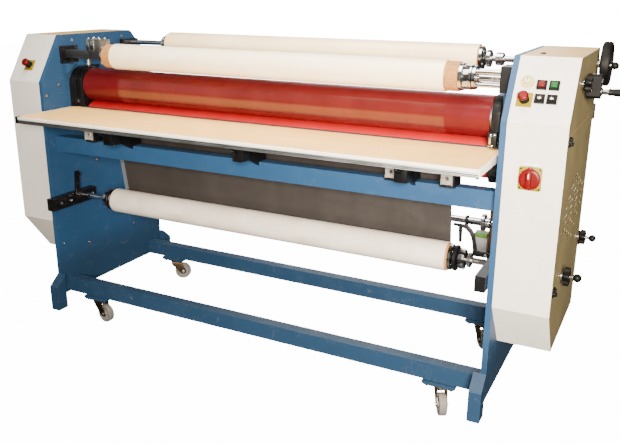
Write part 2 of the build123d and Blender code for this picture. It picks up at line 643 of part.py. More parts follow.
with BuildPart() as roll_brackets:
    slab(-INNER, -INNER + 8, FRONT_ROLL[0] - 52, FRONT_ROLL[0] + 38, FRONT_ROLL[1] - 33, FRONT_ROLL[1] + 33)
    slab(INNER - BLOCK_RIGHT_T, INNER, FRONT_ROLL[0] - 40, FRONT_ROLL[0] + 40,
         FRONT_ROLL[1] - 37, FRONT_ROLL[1] + 40)
    bore(INNER - BLOCK_RIGHT_T, INNER, FRONT_ROLL, SPINDLE_R + FIT)
    for rear_x in (-INNER, INNER - 20):
        slab(rear_x, rear_x + 20, REAR_ROLL[0] - 52, REAR_ROLL[0] + 46, REAR_ROLL[1] - 20, REAR_ROLL[1] + 14)
        bore(rear_x, rear_x + 20, REAR_ROLL, SPINDLE_R + FIT)
    for bar_x in (-INNER, INNER - BAR_T):
        slab(bar_x, bar_x + BAR_T, BAR_FRONT, BAR_BACK, BAR_Z[0], BAR_Z[1])
        bore(bar_x, bar_x + BAR_T, LOWER_ROLL, SPINDLE_R + FIT)
keep(roll_brackets, "roll_brackets")

RAIL_Z = (1082.0, 1112.0)
RAIL_DEPTH = (-30.0, 22.0)       # ahead of and behind the front roll's axis
CLAMP_CAP_Z = 1158.0
CLAMP_CAP_HALF = 26.0
ROD_CIRCLE = 27.0
CAGE_ROD_R = 6.5
CAGE_X = FILM_SHIFT + CORE_HALF + 41
CAGE_T = 10.0
CAGE_R = 36.0
TAKEUP_BLOCK_T = (20.0, 36.0)    # left and right
BRAKE_R = 26.0                   # brake housing round each spindle's outer end
BRAKE_WALL = 6.0
BRAKE_END = RIGHT_FACE - 16

with BuildPart() as spindle_fittings:
    slab(-INNER + 8, CLAMP_END, FRONT_ROLL[0] + RAIL_DEPTH[0], FRONT_ROLL[0] + RAIL_DEPTH[1], *RAIL_Z)
    slab(CLAMP_END - CLAMP_L, CLAMP_END, FRONT_ROLL[0] - CLAMP_CAP_HALF, FRONT_ROLL[0] + CLAMP_CAP_HALF,
         RAIL_Z[1], CLAMP_CAP_Z)
    bore(-INNER + 8, CLAMP_END, FRONT_ROLL, SPINDLE_R + FIT)
    rod(CAGE_X, CAGE_X + CAGE_T, FRONT_ROLL, CAGE_R)
    for turn in (0, 1, 2, 3):
        bearing = radians(45 + 90 * turn)
        rod_axis = (FRONT_ROLL[0] + ROD_CIRCLE * cos(bearing), FRONT_ROLL[1] + ROD_CIRCLE * sin(bearing))
        rod(CAGE_X + CAGE_T, INNER - BLOCK_RIGHT_T, rod_axis, CAGE_ROD_R)
    bore(CAGE_X, CAGE_X + CAGE_T, FRONT_ROLL, SPINDLE_R + FIT)
    slab(INNER - TAKEUP_BLOCK_T[1], INNER, TAKEUP[0] - 40, TAKEUP[0] + 40, TAKEUP[1] - 90, TAKEUP[1] + 30)
    bore(INNER - TAKEUP_BLOCK_T[1], INNER, TAKEUP, SPINDLE_R + FIT)
    slab(-INNER, -INNER + TAKEUP_BLOCK_T[0], TAKEUP[0] - 30, TAKEUP[0] + 30, TAKEUP[1] - 30, TAKEUP[1] + 30)
    bore(-INNER, -INNER + TAKEUP_BLOCK_T[0], TAKEUP, SPINDLE_R + FIT)
    for brake_axis in (FRONT_ROLL, REAR_ROLL, LOWER_ROLL, TAKEUP):
        rod(HALF, BRAKE_END, brake_axis, BRAKE_R)
        bore(HALF, BRAKE_END - 2 * BRAKE_WALL, brake_axis, BRAKE_R - BRAKE_WALL)
        bore(HALF, BRAKE_END, brake_axis, STEM_R + FIT)
keep(spindle_fittings, "spindle_fittings")

LEVER_PIVOT = (95.0, 518.0)
LEVER_TIP = (102.0, 616.0)
LEVER_T = 6.0

with BuildPart() as release_lever:
    lever_x = -INNER + BAR_T
    with BuildSketch(side(lever_x)):
        with Locations(LEVER_PIVOT):
            Circle(13)
        with BuildLine():
            Polyline((LEVER_PIVOT[0] - 11, LEVER_PIVOT[1] + 2), (LEVER_TIP[0] - 10, LEVER_TIP[1] + 12),
                     (LEVER_TIP[0] + 10, LEVER_TIP[1] + 12), (LEVER_PIVOT[0] + 11, LEVER_PIVOT[1] + 2), close=True)
        make_face()
    extrude(amount=LEVER_T)
    rod(lever_x + LEVER_T, lever_x + LEVER_T + 10, LEVER_TIP, 7)
    rod(lever_x + LEVER_T, lever_x + LEVER_T + 6, LEVER_PIVOT, 7)
keep(release_lever, "release_lever")

# ---------------------------------------------------------------- film webs
WEB_END_ANGLE = 255.0    # the web stops here, just before the nip


def top_web_angles():
    """Angles about the upper roller where the film meets it and where it stops before the nip."""
    dy = FRONT_ROLL[0] - ROLLER_Y
    dz = FRONT_ROLL[1] - TOP_AXIS
    toward = degrees(atan2(dz, dy))
    spread = degrees(acos((ROLLER_R + TOP_FILM_R + 2 * WEB_GAP) / hypot(dy, dz)))
    return toward + spread, WEB_END_ANGLE


with BuildPart() as top_web:
    web_start, web_end = top_web_angles()
    with BuildSketch(side(FILM_SHIFT - FILM_HALF)):
        with BuildLine():
            inner_arc = CenterArc((ROLLER_Y, TOP_AXIS), ROLLER_R + WEB_GAP, web_start, web_end - web_start)
            outer_arc = CenterArc((ROLLER_Y, TOP_AXIS), ROLLER_R + WEB_GAP + WEB_T, web_start,
                                  web_end - web_start)
            Line(inner_arc @ 0, outer_arc @ 0)
            Line(inner_arc @ 1, outer_arc @ 1)
        make_face()
    extrude(amount=2 * FILM_HALF)
keep(top_web, "top_web")


def lower_web_run():
    """Ends of the lower film's straight run, from the back of its roll to the front of the roller."""
    dy = ROLLER_Y - LOWER_ROLL[0]
    dz = BOTTOM_AXIS - LOWER_ROLL[1]
    reach = hypot(dy, dz)
    r_low = LOWER_FILM_R + WEB_GAP + WEB_T / 2
    r_high = ROLLER_R + WEB_GAP + WEB_T / 2
    along = (r_low + r_high) / reach
    across = (1 - along * along) ** 0.5
    normal = (along * dy / reach + across * dz / reach, along * dz / reach - across * dy / reach)
    start = (LOWER_ROLL[0] + normal[0] * r_low, LOWER_ROLL[1] + normal[1] * r_low)
    end = (ROLLER_Y - normal[0] * r_high, BOTTOM_AXIS - normal[1] * r_high)
    return start, end, normal


with BuildPart() as lower_web:
    run_start, run_end, run_normal = lower_web_run()
    half_y = run_normal[0] * WEB_T / 2
    half_z = run_normal[1] * WEB_T / 2
    outline(FILM_SHIFT - LOWER_WEB_HALF, FILM_SHIFT + LOWER_WEB_HALF, [
        (run_start[0] - half_y, run_start[1] - half_z), (run_start[0] + half_y, run_start[1] + half_z),
        (run_end[0] + half_y, run_end[1] + half_z), (run_end[0] - half_y, run_end[1] - half_z)])
keep(lower_web, "lower_web")

# ---------------------------------------------------------------- controls
ESTOP_RIGHT = (HALF + 34, 70.0)      # X and climb on the console
ESTOP_LEFT = (-HALF - 78, 70.0)
DIAL = (HALF + 34, 124.0)
DIAL_R = 21.0
BUTTONS = {"stop_button": (HALF + 74, 116.0), "start_button": (HALF + 108, 116.0),
           "forward_button": (HALF + 75, 74.0), "reverse_button": (HALF + 108, 74.0)}
BUTTON_W = 17.0
BUTTON_TRAVEL = 3.0
BUTTON_RIM = 5.0         # the base round each button
LEGEND_H = 8.0           # holder above each button
DIAL_T = 2.0
DIAL_BORE_R = 4.0
SWITCH = (HALF + 76, 842.0)
SWITCH_PLATE = (64.0, 68.0)
SWITCH_BORE_R = 7.0
SWITCH_T = 6.0
LABEL_RISE = 41.0        # blank label above the switch
LABEL = (50.0, 15.0)
SEAT_T = 2.0             # floor under a button or a head's stem
ESTOP_PLATE = 44.0
ESTOP_PLATE_T = 2.0
COLLAR_R = 14.0
COLLAR_H = 16.0
ESTOP_STEM_R = 7.0
ESTOP_TRAVEL = 5.0
MUSHROOM_R = 15.0
MUSHROOM_H = 11.0
BASE_H = 9.0

with BuildPart() as control_plates:
    for estop_x, estop_climb in (ESTOP_RIGHT, ESTOP_LEFT):
        with BuildSketch(console(estop_x, estop_climb)):
            Rectangle(ESTOP_PLATE, ESTOP_PLATE)
        extrude(amount=ESTOP_PLATE_T)
        with BuildSketch(console(estop_x, estop_climb, ESTOP_PLATE_T)):
            Circle(COLLAR_R)
        extrude(amount=COLLAR_H)
        with BuildSketch(console(estop_x, estop_climb, ESTOP_PLATE_T + SEAT_T)):
            Circle(ESTOP_STEM_R + FIT)
        extrude(amount=COLLAR_H, mode=Mode.SUBTRACT)
    with BuildSketch(console(*DIAL)):
        Circle(DIAL_R)
        Circle(DIAL_BORE_R + FIT, mode=Mode.SUBTRACT)
    extrude(amount=DIAL_T)
    for button_x, button_climb in BUTTONS.values():
        with BuildSketch(console(button_x, button_climb)):
            Rectangle(BUTTON_W + 2 * BUTTON_RIM, BUTTON_W + 2 * BUTTON_RIM)
        extrude(amount=BASE_H)
        with BuildSketch(console(button_x, button_climb, SEAT_T)):
            Rectangle(BUTTON_W + 2 * FIT, BUTTON_W + 2 * FIT)
        extrude(amount=BASE_H, mode=Mode.SUBTRACT)
        with BuildSketch(console(button_x, button_climb + BUTTON_W / 2 + LEGEND_H)):
            Rectangle(BUTTON_W + 2 * BUTTON_RIM, LEGEND_H)
        extrude(amount=3)
    with BuildSketch(front(0)):
        with Locations((SWITCH[0], SWITCH[1] + LABEL_RISE)):
            Rectangle(*LABEL)
    extrude(amount=1)
    with BuildSketch(front(0)):
        with Locations(SWITCH):
            Rectangle(*SWITCH_PLATE)
    extrude(amount=SWITCH_T)
    with BuildSketch(front(-SEAT_T)):
        with Locations(SWITCH):
            Circle(SWITCH_BORE_R + FIT)
    extrude(amount=SWITCH_T, mode=Mode.SUBTRACT)
keep(control_plates, "control_plates")


def estop_head(name, x, climb):
    """Mushroom head whose stem slides in the collar."""
    seat = ESTOP_PLATE_T + COLLAR_H
    with BuildPart() as head:
        with BuildSketch(console(x, climb, ESTOP_PLATE_T + SEAT_T + ESTOP_TRAVEL + PLAY)):
            Circle(ESTOP_STEM_R)
        extrude(amount=COLLAR_H)
        with BuildSketch(console(x, climb, seat + ESTOP_TRAVEL + PLAY)):
            Circle(MUSHROOM_R)
        extrude(amount=MUSHROOM_H)
        fillet(head.faces().sort_by(Axis(origin=(0, 0, 0), direction=(0, -SLOPE_Z, SLOPE_Y)))[-1].edges(), 5)
    keep(head, name)


estop_head("estop_head_right", *ESTOP_RIGHT)
estop_head("estop_head_left", *ESTOP_LEFT)

for button_name, (button_x, button_climb) in BUTTONS.items():
    with BuildPart() as button:
        with BuildSketch(console(button_x, button_climb, SEAT_T + BUTTON_TRAVEL + PLAY)):
            Rectangle(BUTTON_W, BUTTON_W)
        extrude(amount=BASE_H - SEAT_T + PLAY)
    keep(button, button_name)

with BuildPart() as speed_knob:
    with BuildSketch(console(*DIAL)):
        Circle(DIAL_BORE_R)
    extrude(amount=2 * DIAL_T)
    with BuildSketch(console(*DIAL, DIAL_T + PLAY)):
        Circle(10)
    extrude(amount=13, taper=4)
    with BuildSketch(console(*DIAL, DIAL_T + PLAY)):
        with Locations((0, 7)):
            Rectangle(3, 12)
    extrude(amount=14)
keep(speed_knob, "speed_knob")

SWITCH_DISC_R = 30.0
SWITCH_DISC_T = 12.0
SWITCH_GRIP = (16.0, 50.0)

with BuildPart() as switch_knob:
    with BuildSketch(front(-SEAT_T)):
        with Locations(SWITCH):
            Circle(SWITCH_BORE_R)
    extrude(amount=SWITCH_T)
    with BuildSketch(front(-SWITCH_T - PLAY)):
        with Locations(SWITCH):
            Circle(SWITCH_DISC_R)
        with BuildLine():
            Polyline((SWITCH[0] - 16, SWITCH[1] - 20), (SWITCH[0], SWITCH[1] - 36),
                     (SWITCH[0] + 16, SWITCH[1] - 20), close=True)
        make_face()
    extrude(amount=SWITCH_DISC_T)
    with BuildSketch(front(-SWITCH_T - PLAY - SWITCH_DISC_T)):
        with Locations(SWITCH):
            Rectangle(*SWITCH_GRIP)
    extrude(amount=14)
keep(switch_knob, "switch_knob")

# ---------------------------------------------------------------- wheels and knobs on the right end
WHEEL_R = 70.0
WHEEL_X = RIGHT_FACE + 12
WHEEL_W = 30.0

with BuildPart() as handwheel:
    rod(WHEEL_X, WHEEL_X + WHEEL_W, REAR_ROLL, WHEEL_R)
    fillet(edges(), 5)
    bore(WHEEL_X + 10, WHEEL_X + WHEEL_W, REAR_ROLL, WHEEL_R - 12)
    rod(WHEEL_X + 10, WHEEL_X + 26, REAR_ROLL, 18)
    rod(PANEL_IN - 20, WHEEL_X, REAR_ROLL, STEM_R)
    rod(RIGHT_FACE + 1, WHEEL_X, REAR_ROLL, 14)
    ball_y = REAR_ROLL[0] - WHEEL_R + 14
    rod(WHEEL_X + 9, WHEEL_X + 38, (ball_y, REAR_ROLL[1]), 5)
    with Locations((WHEEL_X + 46 - X_MID, ball_y - Y_MID, REAR_ROLL[1])):
        Sphere(12)
keep(handwheel, "handwheel")


def star_knob(name, axis, radius, ball_r):
    """Five-lobed brake knob with a plated stem and a ball on its outer end."""
    with BuildPart() as knob:
        rod(PANEL_IN - 20, RIGHT_FACE + 12, axis, STEM_R)
        rod(RIGHT_FACE + 1, RIGHT_FACE + 8, axis, 13)
        with BuildSketch(side(RIGHT_FACE + 12)):
            with Locations(axis):
                Circle(radius * 0.72)
                with PolarLocations(radius * 0.68, 5):
                    Circle(radius * 0.34)
        extrude(amount=16)
        if ball_r:
            rod(RIGHT_FACE + 28, RIGHT_FACE + 44, axis, 5)
            with Locations((RIGHT_FACE + 50 - X_MID, axis[0] - Y_MID, axis[1])):
                Sphere(ball_r)
    keep(knob, name)


star_knob("tension_knob_top", FRONT_ROLL, 24, 0)
star_knob("tension_knob_lower", LOWER_ROLL, 30, 13)
star_knob("tension_knob_takeup", TAKEUP, 26, 12)

# ---------------------------------------------------------------- swivelling casters
CASTERS = {"fl": (-CASTER_X, BEAM_MID_Y, -8.0), "fr": (CASTER_X, BEAM_MID_Y, -62.0),
           "rl": (-CASTER_X, REAR_MID_Y, 40.0), "rr": (CASTER_X, REAR_MID_Y, -50.0)}
PAD_UNDER = PLATE_BOTTOM - CASTER_PAD_T
RING_TOP = PAD_UNDER - CASTER_PLATE_T
FORK_TOP = RING_TOP - CASTER_RING_T
CHEEK_T = 3.0
CHEEK_GAP = 15.0         # middle of the wheel to the inside of a cheek
WHEEL_HALF_W = 13.0
AXLE_R = 5.0

with BuildPart() as caster_plates:
    for caster_x, caster_y, _ in CASTERS.values():
        slab(caster_x - 50, caster_x + 50, caster_y - 34, caster_y + 34, RING_TOP, PAD_UNDER)
        with BuildSketch(level(RING_TOP)):
            with Locations((caster_x, caster_y)):
                Circle(9)
        extrude(amount=-CASTER_RING_T)
keep(caster_plates, "caster_plates")

for corner, (caster_x, caster_y, heading) in CASTERS.items():
    turn = radians(heading)
    axle_x = caster_x + CASTER_TRAIL * cos(turn)
    axle_y = caster_y + CASTER_TRAIL * sin(turn)
    wheel_plane = Plane(origin=(axle_x - X_MID, axle_y - Y_MID, CASTER_WHEEL_R),
                        x_dir=(cos(turn), sin(turn), 0), z_dir=(sin(turn), -cos(turn), 0))
    with BuildPart() as fork:
        with BuildSketch(level(FORK_TOP)):
            with Locations((caster_x, caster_y)):
                Circle(29)
                Circle(9 + FIT, mode=Mode.SUBTRACT)
        extrude(amount=CASTER_RING_T - PLAY)
        for cheek in (-1, 1):
            cheek_from = cheek * CHEEK_GAP if cheek > 0 else -CHEEK_GAP - CHEEK_T
            with BuildSketch(wheel_plane.offset(cheek_from)):
                with BuildLine():
                    Polyline((-CASTER_TRAIL - 26, FORK_TOP - CASTER_WHEEL_R),
                             (-CASTER_TRAIL + 30, FORK_TOP - CASTER_WHEEL_R), (12, 0), (0, -12), (-12, 0),
                             close=True)
                make_face()
            extrude(amount=CHEEK_T)
        with BuildSketch(level(FORK_TOP - CHEEK_T)):
            with Locations(Location((caster_x, caster_y, 0), (0, 0, heading))):
                Rectangle(50, 2 * CHEEK_GAP + 2 * CHEEK_T)
        extrude(amount=CHEEK_T)
        with BuildSketch(wheel_plane.offset(-CHEEK_GAP - CHEEK_T - 4)):
            Circle(AXLE_R)
        extrude(amount=2 * (CHEEK_GAP + CHEEK_T + 4))
    keep(fork, f"caster_fork_{corner}")
    with BuildPart() as wheel:
        with BuildSketch(wheel_plane.offset(-WHEEL_HALF_W)):
            Circle(CASTER_WHEEL_R)
        extrude(amount=2 * WHEEL_HALF_W)
        fillet(wheel.edges(), 4)
        with BuildSketch(wheel_plane.offset(-CHEEK_GAP + PLAY)):
            Circle(10)
        extrude(amount=2 * (CHEEK_GAP - PLAY))
        with BuildSketch(wheel_plane.offset(-CHEEK_GAP)):
            Circle(AXLE_R + FIT)
        extrude(amount=2 * CHEEK_GAP, mode=Mode.SUBTRACT)
    keep(wheel, f"caster_wheel_{corner}")

# ---------------------------------------------------------------- screws
SCREW_HEAD_R = 5.0
SCREW_HEAD_T = 3.0
PLATE_SCREWS = [(174, 1147), (468, 1147), (16, 944), (85, 979), (259, 640), (176, 290), (466, 294),
                (30, 330), (600, 330), (600, 900)]
BAR_SCREWS = [(10, 513), (60, 513), (185, 513)]
HOUSING_SCREWS = [(ROLLER_Y - 60, 908), (ROLLER_Y - 60, 862), (ROLLER_Y + 58, 800), (ROLLER_Y + 28, 800)]

with BuildPart() as screws:
    for screw_y, screw_z in PLATE_SCREWS:
        rod(-INNER, -INNER + SCREW_HEAD_T, (screw_y, screw_z), SCREW_HEAD_R)
        rod(INNER - SCREW_HEAD_T, INNER, (screw_y, screw_z), SCREW_HEAD_R)
    for screw_y, screw_z in BAR_SCREWS:
        bar_face = INNER - BAR_T
        rod(-bar_face, -bar_face + SCREW_HEAD_T, (screw_y, screw_z), SCREW_HEAD_R)
        rod(bar_face - SCREW_HEAD_T, bar_face, (screw_y, screw_z), SCREW_HEAD_R)
    for screw_y, screw_z in HOUSING_SCREWS:
        rod(-HOUSING_X, -HOUSING_X + SCREW_HEAD_T, (screw_y, screw_z), SCREW_HEAD_R)
        rod(HOUSING_X - SCREW_HEAD_T, HOUSING_X, (screw_y, screw_z), SCREW_HEAD_R)
keep(screws, "screws")

print("origin offset", X_MID, Y_MID)
print("top web angles", top_web_angles())
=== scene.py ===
# %% [markdown]
# # A roll mounting press
# The press joins a print to its board between two rubber rollers. Its frame, rollers, covers and
# knobs come from the CAD model as fixed meshes. This file adds the camera, the light, the finishes
# and the small pieces whose shape CAD left plain. Each cell does one job and prints what it did.

# %% Load the frame
import bmesh
import bpy
import json
from math import atan2, cos, degrees, pi, radians, sin
from mathutils import Matrix, Vector


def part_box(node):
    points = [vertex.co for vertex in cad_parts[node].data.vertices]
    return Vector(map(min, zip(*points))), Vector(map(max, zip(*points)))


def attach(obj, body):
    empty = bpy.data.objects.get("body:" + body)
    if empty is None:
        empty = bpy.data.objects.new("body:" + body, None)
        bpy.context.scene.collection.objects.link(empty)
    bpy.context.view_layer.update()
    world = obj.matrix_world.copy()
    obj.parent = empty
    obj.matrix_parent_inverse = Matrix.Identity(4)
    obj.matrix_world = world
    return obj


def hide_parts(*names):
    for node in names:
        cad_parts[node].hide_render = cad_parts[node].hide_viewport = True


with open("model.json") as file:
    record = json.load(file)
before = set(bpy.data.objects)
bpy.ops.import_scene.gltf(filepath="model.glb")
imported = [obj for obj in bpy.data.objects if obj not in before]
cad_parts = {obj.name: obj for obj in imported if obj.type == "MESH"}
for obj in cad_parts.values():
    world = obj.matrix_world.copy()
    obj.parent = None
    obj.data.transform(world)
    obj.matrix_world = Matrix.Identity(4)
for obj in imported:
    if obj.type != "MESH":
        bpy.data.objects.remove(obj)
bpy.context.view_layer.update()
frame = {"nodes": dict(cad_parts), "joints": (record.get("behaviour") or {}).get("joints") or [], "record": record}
JOINT = {joint["name"]: joint for joint in frame["joints"]}

# %% [markdown]
# ## A ruler that suits the machine
# A fitter measures this machine from the middle of its span, from the front edge of the side plates
# and from the floor, in millimetres. The frame's own origin is somewhere else, so one function turns
# a fitter's numbers into a point. The side plates themselves tell where the datum is.

# %% Machine datum
MM = 0.001
plate_low, plate_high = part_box("side_plates")
DATUM = Vector(((plate_low.x + plate_high.x) / 2, plate_low.y, 0))


def at(x, y, z):
    """Point in the frame, from millimetres on the machine's own datum."""
    return DATUM + Vector((x, y, z)) * MM


def measured(point):
    """Millimetres on the machine's own datum, from a point in the frame."""
    return (Vector(point) - DATUM) / MM


def box_mm(node):
    """Lowest and highest corner of a CAD node, in millimetres on the machine's datum."""
    return tuple(measured(corner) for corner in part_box(node))


def new_object(name, data):
    """New object in the scene."""
    made = bpy.data.objects.new(name, data)
    bpy.context.scene.collection.objects.link(made)
    return made


HALF_SPAN = (plate_high.x - plate_low.x) / 2 / MM
print("half span", round(HALF_SPAN, 1), "mm; datum", tuple(DATUM))

# %% [markdown]
# ## The camera
# The camera stands to the right of the machine's middle, at a grown-up's eye height, and looks down a
# little. Yaw turns it about the vertical, pitch tips it down, and roll leans it by a quarter of a
# degree. Its focal length is in pixels of a render 620 pixels wide, so it is turned into millimetres.

# %% Camera
RENDER_W = 620           # pixels
SENSOR_W = 36.0          # millimetres
FOCAL = 724.1            # focal length in pixels
OFF_MIDDLE = -17         # pixels from the render's middle up to the lens axis
CAMERA_SPOT = (1325.1, -2028.9, 1348.9)
YAW, PITCH, ROLL = 0.4742, 0.2903, 0.0047

camera_data = bpy.data.cameras.new("camera")
camera_data.sensor_width = SENSOR_W
camera_data.lens = FOCAL / RENDER_W * SENSOR_W
camera_data.shift_y = OFF_MIDDLE / RENDER_W
camera = new_object("camera", camera_data)
camera.matrix_world = (
    Matrix.Translation(at(*CAMERA_SPOT))
    @ Matrix.Rotation(YAW, 4, "Z")
    @ Matrix.Rotation(pi / 2 - PITCH, 4, "X")
    @ Matrix.Rotation(ROLL, 4, "Z")
)
bpy.context.scene.camera = camera
print("camera at", tuple(camera.location), "lens", round(camera_data.lens, 1), "mm")

# %% [markdown]
# ## Light and floor
# The machine stands in a white studio. A lamp behind the camera gives the flash-like front light,
# which fades towards the far left end. A pale sky fills the shadows, and the floor is plain.
# The floor is shown a little brighter than it lights its surroundings, so it stays close to white
# without washing out the underside of the machine.

# %% Helpers for shader nodes
def feed(tree, socket, value):
    """Links an output to a socket, or sets the socket to a value."""
    if isinstance(value, bpy.types.NodeSocket):
        tree.links.new(value, socket)
    else:
        socket.default_value = value


def node(tree, kind, sockets=None, **settings):
    """New node. Settings are its options; sockets gives inputs, each a value or an output."""
    made = tree.nodes.new(kind)
    for name, value in settings.items():
        setattr(made, name, value)
    for name, value in (sockets or {}).items():
        feed(tree, made.inputs[name], value)
    return made


def put(tree, kind, sockets=None, **settings):
    """New shader node."""
    return node(tree, "ShaderNode" + kind, sockets, **settings)


def maths(tree, operation, *values):
    """Output of a Math node; each value is a number or an output."""
    return put(tree, "Math", dict(enumerate(values)), operation=operation).outputs[0]


def times(tree, one, other):
    """Output of a product."""
    return maths(tree, "MULTIPLY", one, other)


def plus(tree, one, other):
    """Output of a sum."""
    return maths(tree, "ADD", one, other)


def blend(tree, factor, base, other, mode="MIX"):
    """Output of a colour mix."""
    sockets = {0: factor, 6: base, 7: other}
    return put(tree, "Mix", sockets, data_type="RGBA", blend_type=mode).outputs[2]


def spread(tree, value, low, high, to_low=0.0, to_high=1.0):
    """Value stretched from one range to another and kept inside it."""
    return put(tree, "MapRange", {0: value, 1: low, 2: high, 3: to_low, 4: to_high}).outputs[0]


def shaded(tree, base, shade):
    """Colour multiplied by a grey; either may be a value or an output."""
    level = put(tree, "CombineColor", {0: shade, 1: shade, 2: shade}).outputs[0]
    return blend(tree, 1.0, base, level, "MULTIPLY")


def object_spot(tree):
    """The place on the surface, in object coordinates."""
    return put(tree, "TexCoord").outputs["Object"]


def facing(tree):
    """The direction the surface faces."""
    return put(tree, "NewGeometry").outputs["Normal"]


def part(tree, vector, axis):
    """One of a vector's three numbers: axis 0, 1 or 2."""
    return put(tree, "SeparateXYZ", {0: vector}).outputs[axis]


def stretched(tree, spot, scale):
    """A place scaled by its own factor along each axis."""
    return put(tree, "VectorMath", {0: spot, 1: scale}, operation="MULTIPLY").outputs[0]


def noise(tree, spot, scale, detail, **more):
    """Output of a noise read at a place; a larger scale is finer."""
    return put(tree, "TexNoise", {"Vector": spot, "Scale": scale, "Detail": detail, **more}).outputs[0]


# %% Colours and empty trees
def tint(code):
    """Linear colour from a six-digit sRGB code."""
    parts = [int(code[i:i + 2], 16) / 255 for i in (0, 2, 4)]
    return tuple(p / 12.92 if p <= 0.04045 else ((p + 0.055) / 1.055) ** 2.4 for p in parts) + (1.0,)


def new_tree(owner):
    """Empty node tree of a material or world."""
    owner.use_nodes = True
    owner.node_tree.nodes.clear()
    return owner.node_tree


print("orange test", [round(c, 3) for c in tint("ff8000")])

# %% Studio
SKY_SEEN = 18.0          # how bright the sky is to the camera
SKY_LIGHT = 0.17         # and how bright it is as a light
FLOOR_GLOW = 15.0        # glow that only the camera sees
FLOOR_HALF = 14.0        # metres

world = bpy.data.worlds.new("studio")
bpy.context.scene.world = world
sky = new_tree(world)
seen = put(sky, "LightPath").outputs["Is Camera Ray"]
strength = spread(sky, seen, 0.0, 1.0, SKY_LIGHT, SKY_SEEN)
backdrop = put(sky, "Background", {"Color": tint("fffdf8"), "Strength": strength})
put(sky, "OutputWorld", {"Surface": backdrop.outputs[0]})

floor_finish = bpy.data.materials.new("pale_floor")
tree = new_tree(floor_finish)
place = object_spot(tree)
cloud = noise(tree, place, 1.5, 4.0)
speck = noise(tree, place, 220.0, 2.0)
shader = put(tree, "BsdfPrincipled", {
    "Base Color": blend(tree, cloud, tint("34322f"), tint("3c3a37")),
    "Roughness": spread(tree, cloud, 0.3, 0.7, 0.5, 0.62), "Emission Color": tint("ffffff"),
    "Normal": put(tree, "Bump", {"Height": speck, "Strength": 0.05, "Distance": 0.0004}).outputs[0]})
shown = times(tree, put(tree, "LightPath").outputs["Is Camera Ray"], FLOOR_GLOW)
tree.links.new(shown, shader.inputs["Emission Strength"])
put(tree, "OutputMaterial", {"Surface": shader.outputs[0]})

floor_mesh = bpy.data.meshes.new("floor")
corners = [(sx * FLOOR_HALF, sy * FLOOR_HALF, 0) for sx, sy in ((-1, -1), (1, -1), (1, 1), (-1, 1))]
floor_mesh.from_pydata(corners, [], [(0, 1, 2, 3)])
floor_mesh.materials.append(floor_finish)
floor = new_object("floor", floor_mesh)
print("studio floor", 2 * FLOOR_HALF, "m square")


# %% Lamps
def lamp(name, spot, aim, size, watts, colour, spread_degrees=180):
    """Square area lamp at spot, turned to aim; a narrow spread fades away from the aim."""
    data = bpy.data.lights.new(name, "AREA")
    data.size, data.energy, data.color = size, watts, tint(colour)[:3]
    data.spread = radians(spread_degrees)
    made = new_object(name, data)
    made.location = spot
    made.rotation_euler = (aim - spot).to_track_quat("-Z", "Y").to_euler()


lamp("key", at(1870, -3020, 1660), at(800, 100, 930), 0.8, 142, "fff2e0", 78)
lamp("fill", at(-2400, -2600, 2000), at(-200, 100, 700), 2.4, 4, "eaf1ff")
lamp("top", at(150, -250, 2600), at(100, 20, 800), 1.6, 46, "fff6ea", 90)
lamp("back", at(-600, 3200, 2200), at(0, 400, 800), 2.4, 60, "ffffff")

# %% [markdown]
# ## What every finish shares
# Real surfaces are never one flat colour. Five effects come back in almost every finish, so each is a
# node group with named inputs: the fine texture of a sprayed coat, the grain of drawn or turned
# metal, wear where an edge is rubbed, dust that settles on what faces up, and the marks that hands
# leave. A group gives out masks and heights only; each material keeps its own shader.

# %% Shared effects
def effect(name, inputs, outputs):
    """New shader group: inputs are name and default, outputs are names."""
    made = bpy.data.node_groups.new(name, "ShaderNodeTree")
    for label, value in inputs.items():
        kind = "NodeSocketVector" if isinstance(value, tuple) else "NodeSocketFloat"
        made.interface.new_socket(label, in_out="INPUT", socket_type=kind).default_value = value
    for label in outputs:
        made.interface.new_socket(label, in_out="OUTPUT", socket_type="NodeSocketFloat")
    return made, made.nodes.new("NodeGroupInput").outputs, made.nodes.new("NodeGroupOutput").inputs


def use(tree, name, **inputs):
    """Places a shared effect in a material; input names have _ for a space."""
    made = put(tree, "Group", node_tree=bpy.data.node_groups[name])
    for label, value in inputs.items():
        feed(tree, made.inputs[label.replace("_", " ")], value)
    return made.outputs


# %% Sprayed coat: orange peel, and slow changes in how thick it lies
g, given, gives = effect("Fine coat", {"Peel Size": 600.0, "Cloud Size": 5.0}, ["Height", "Cloud"])
spot = object_spot(g)
peel = noise(g, spot, given["Peel Size"], 2.0)
cloud = noise(g, spot, given["Cloud Size"], 5.0, Roughness=0.6)
g.links.new(peel, gives["Height"])
g.links.new(spread(g, cloud, 0.32, 0.68), gives["Cloud"])

# %% Drawn or turned metal: noise stretched along the grain
g, given, gives = effect("Drawn grain", {"Stretch": (20.0, 900.0, 900.0)}, ["Height", "Streak"])
spot = object_spot(g)
long_way = stretched(g, spot, given["Stretch"])
fine = noise(g, long_way, 1.0, 3.0)
broad = noise(g, long_way, 0.18, 2.0)
g.links.new(fine, gives["Height"])
both = plus(g, times(g, fine, 0.5), times(g, broad, 0.5))
g.links.new(spread(g, both, 0.35, 0.65), gives["Streak"])

# %% Rubbed edges: where a rounded normal differs from the real one, broken up by noise
g, given, gives = effect("Edge wear", {"Radius": 0.002, "Patch Size": 70.0}, ["Mask"])
soft = put(g, "Bevel", {"Radius": given["Radius"]}, samples=6).outputs[0]
same = put(g, "VectorMath", {0: soft, 1: facing(g)}, operation="DOT_PRODUCT").outputs["Value"]
patch = noise(g, object_spot(g), given["Patch Size"], 6.0, Roughness=0.7)
edge = spread(g, same, 0.995, 0.86)
g.links.new(times(g, edge, spread(g, patch, 0.46, 0.62)), gives["Mask"])

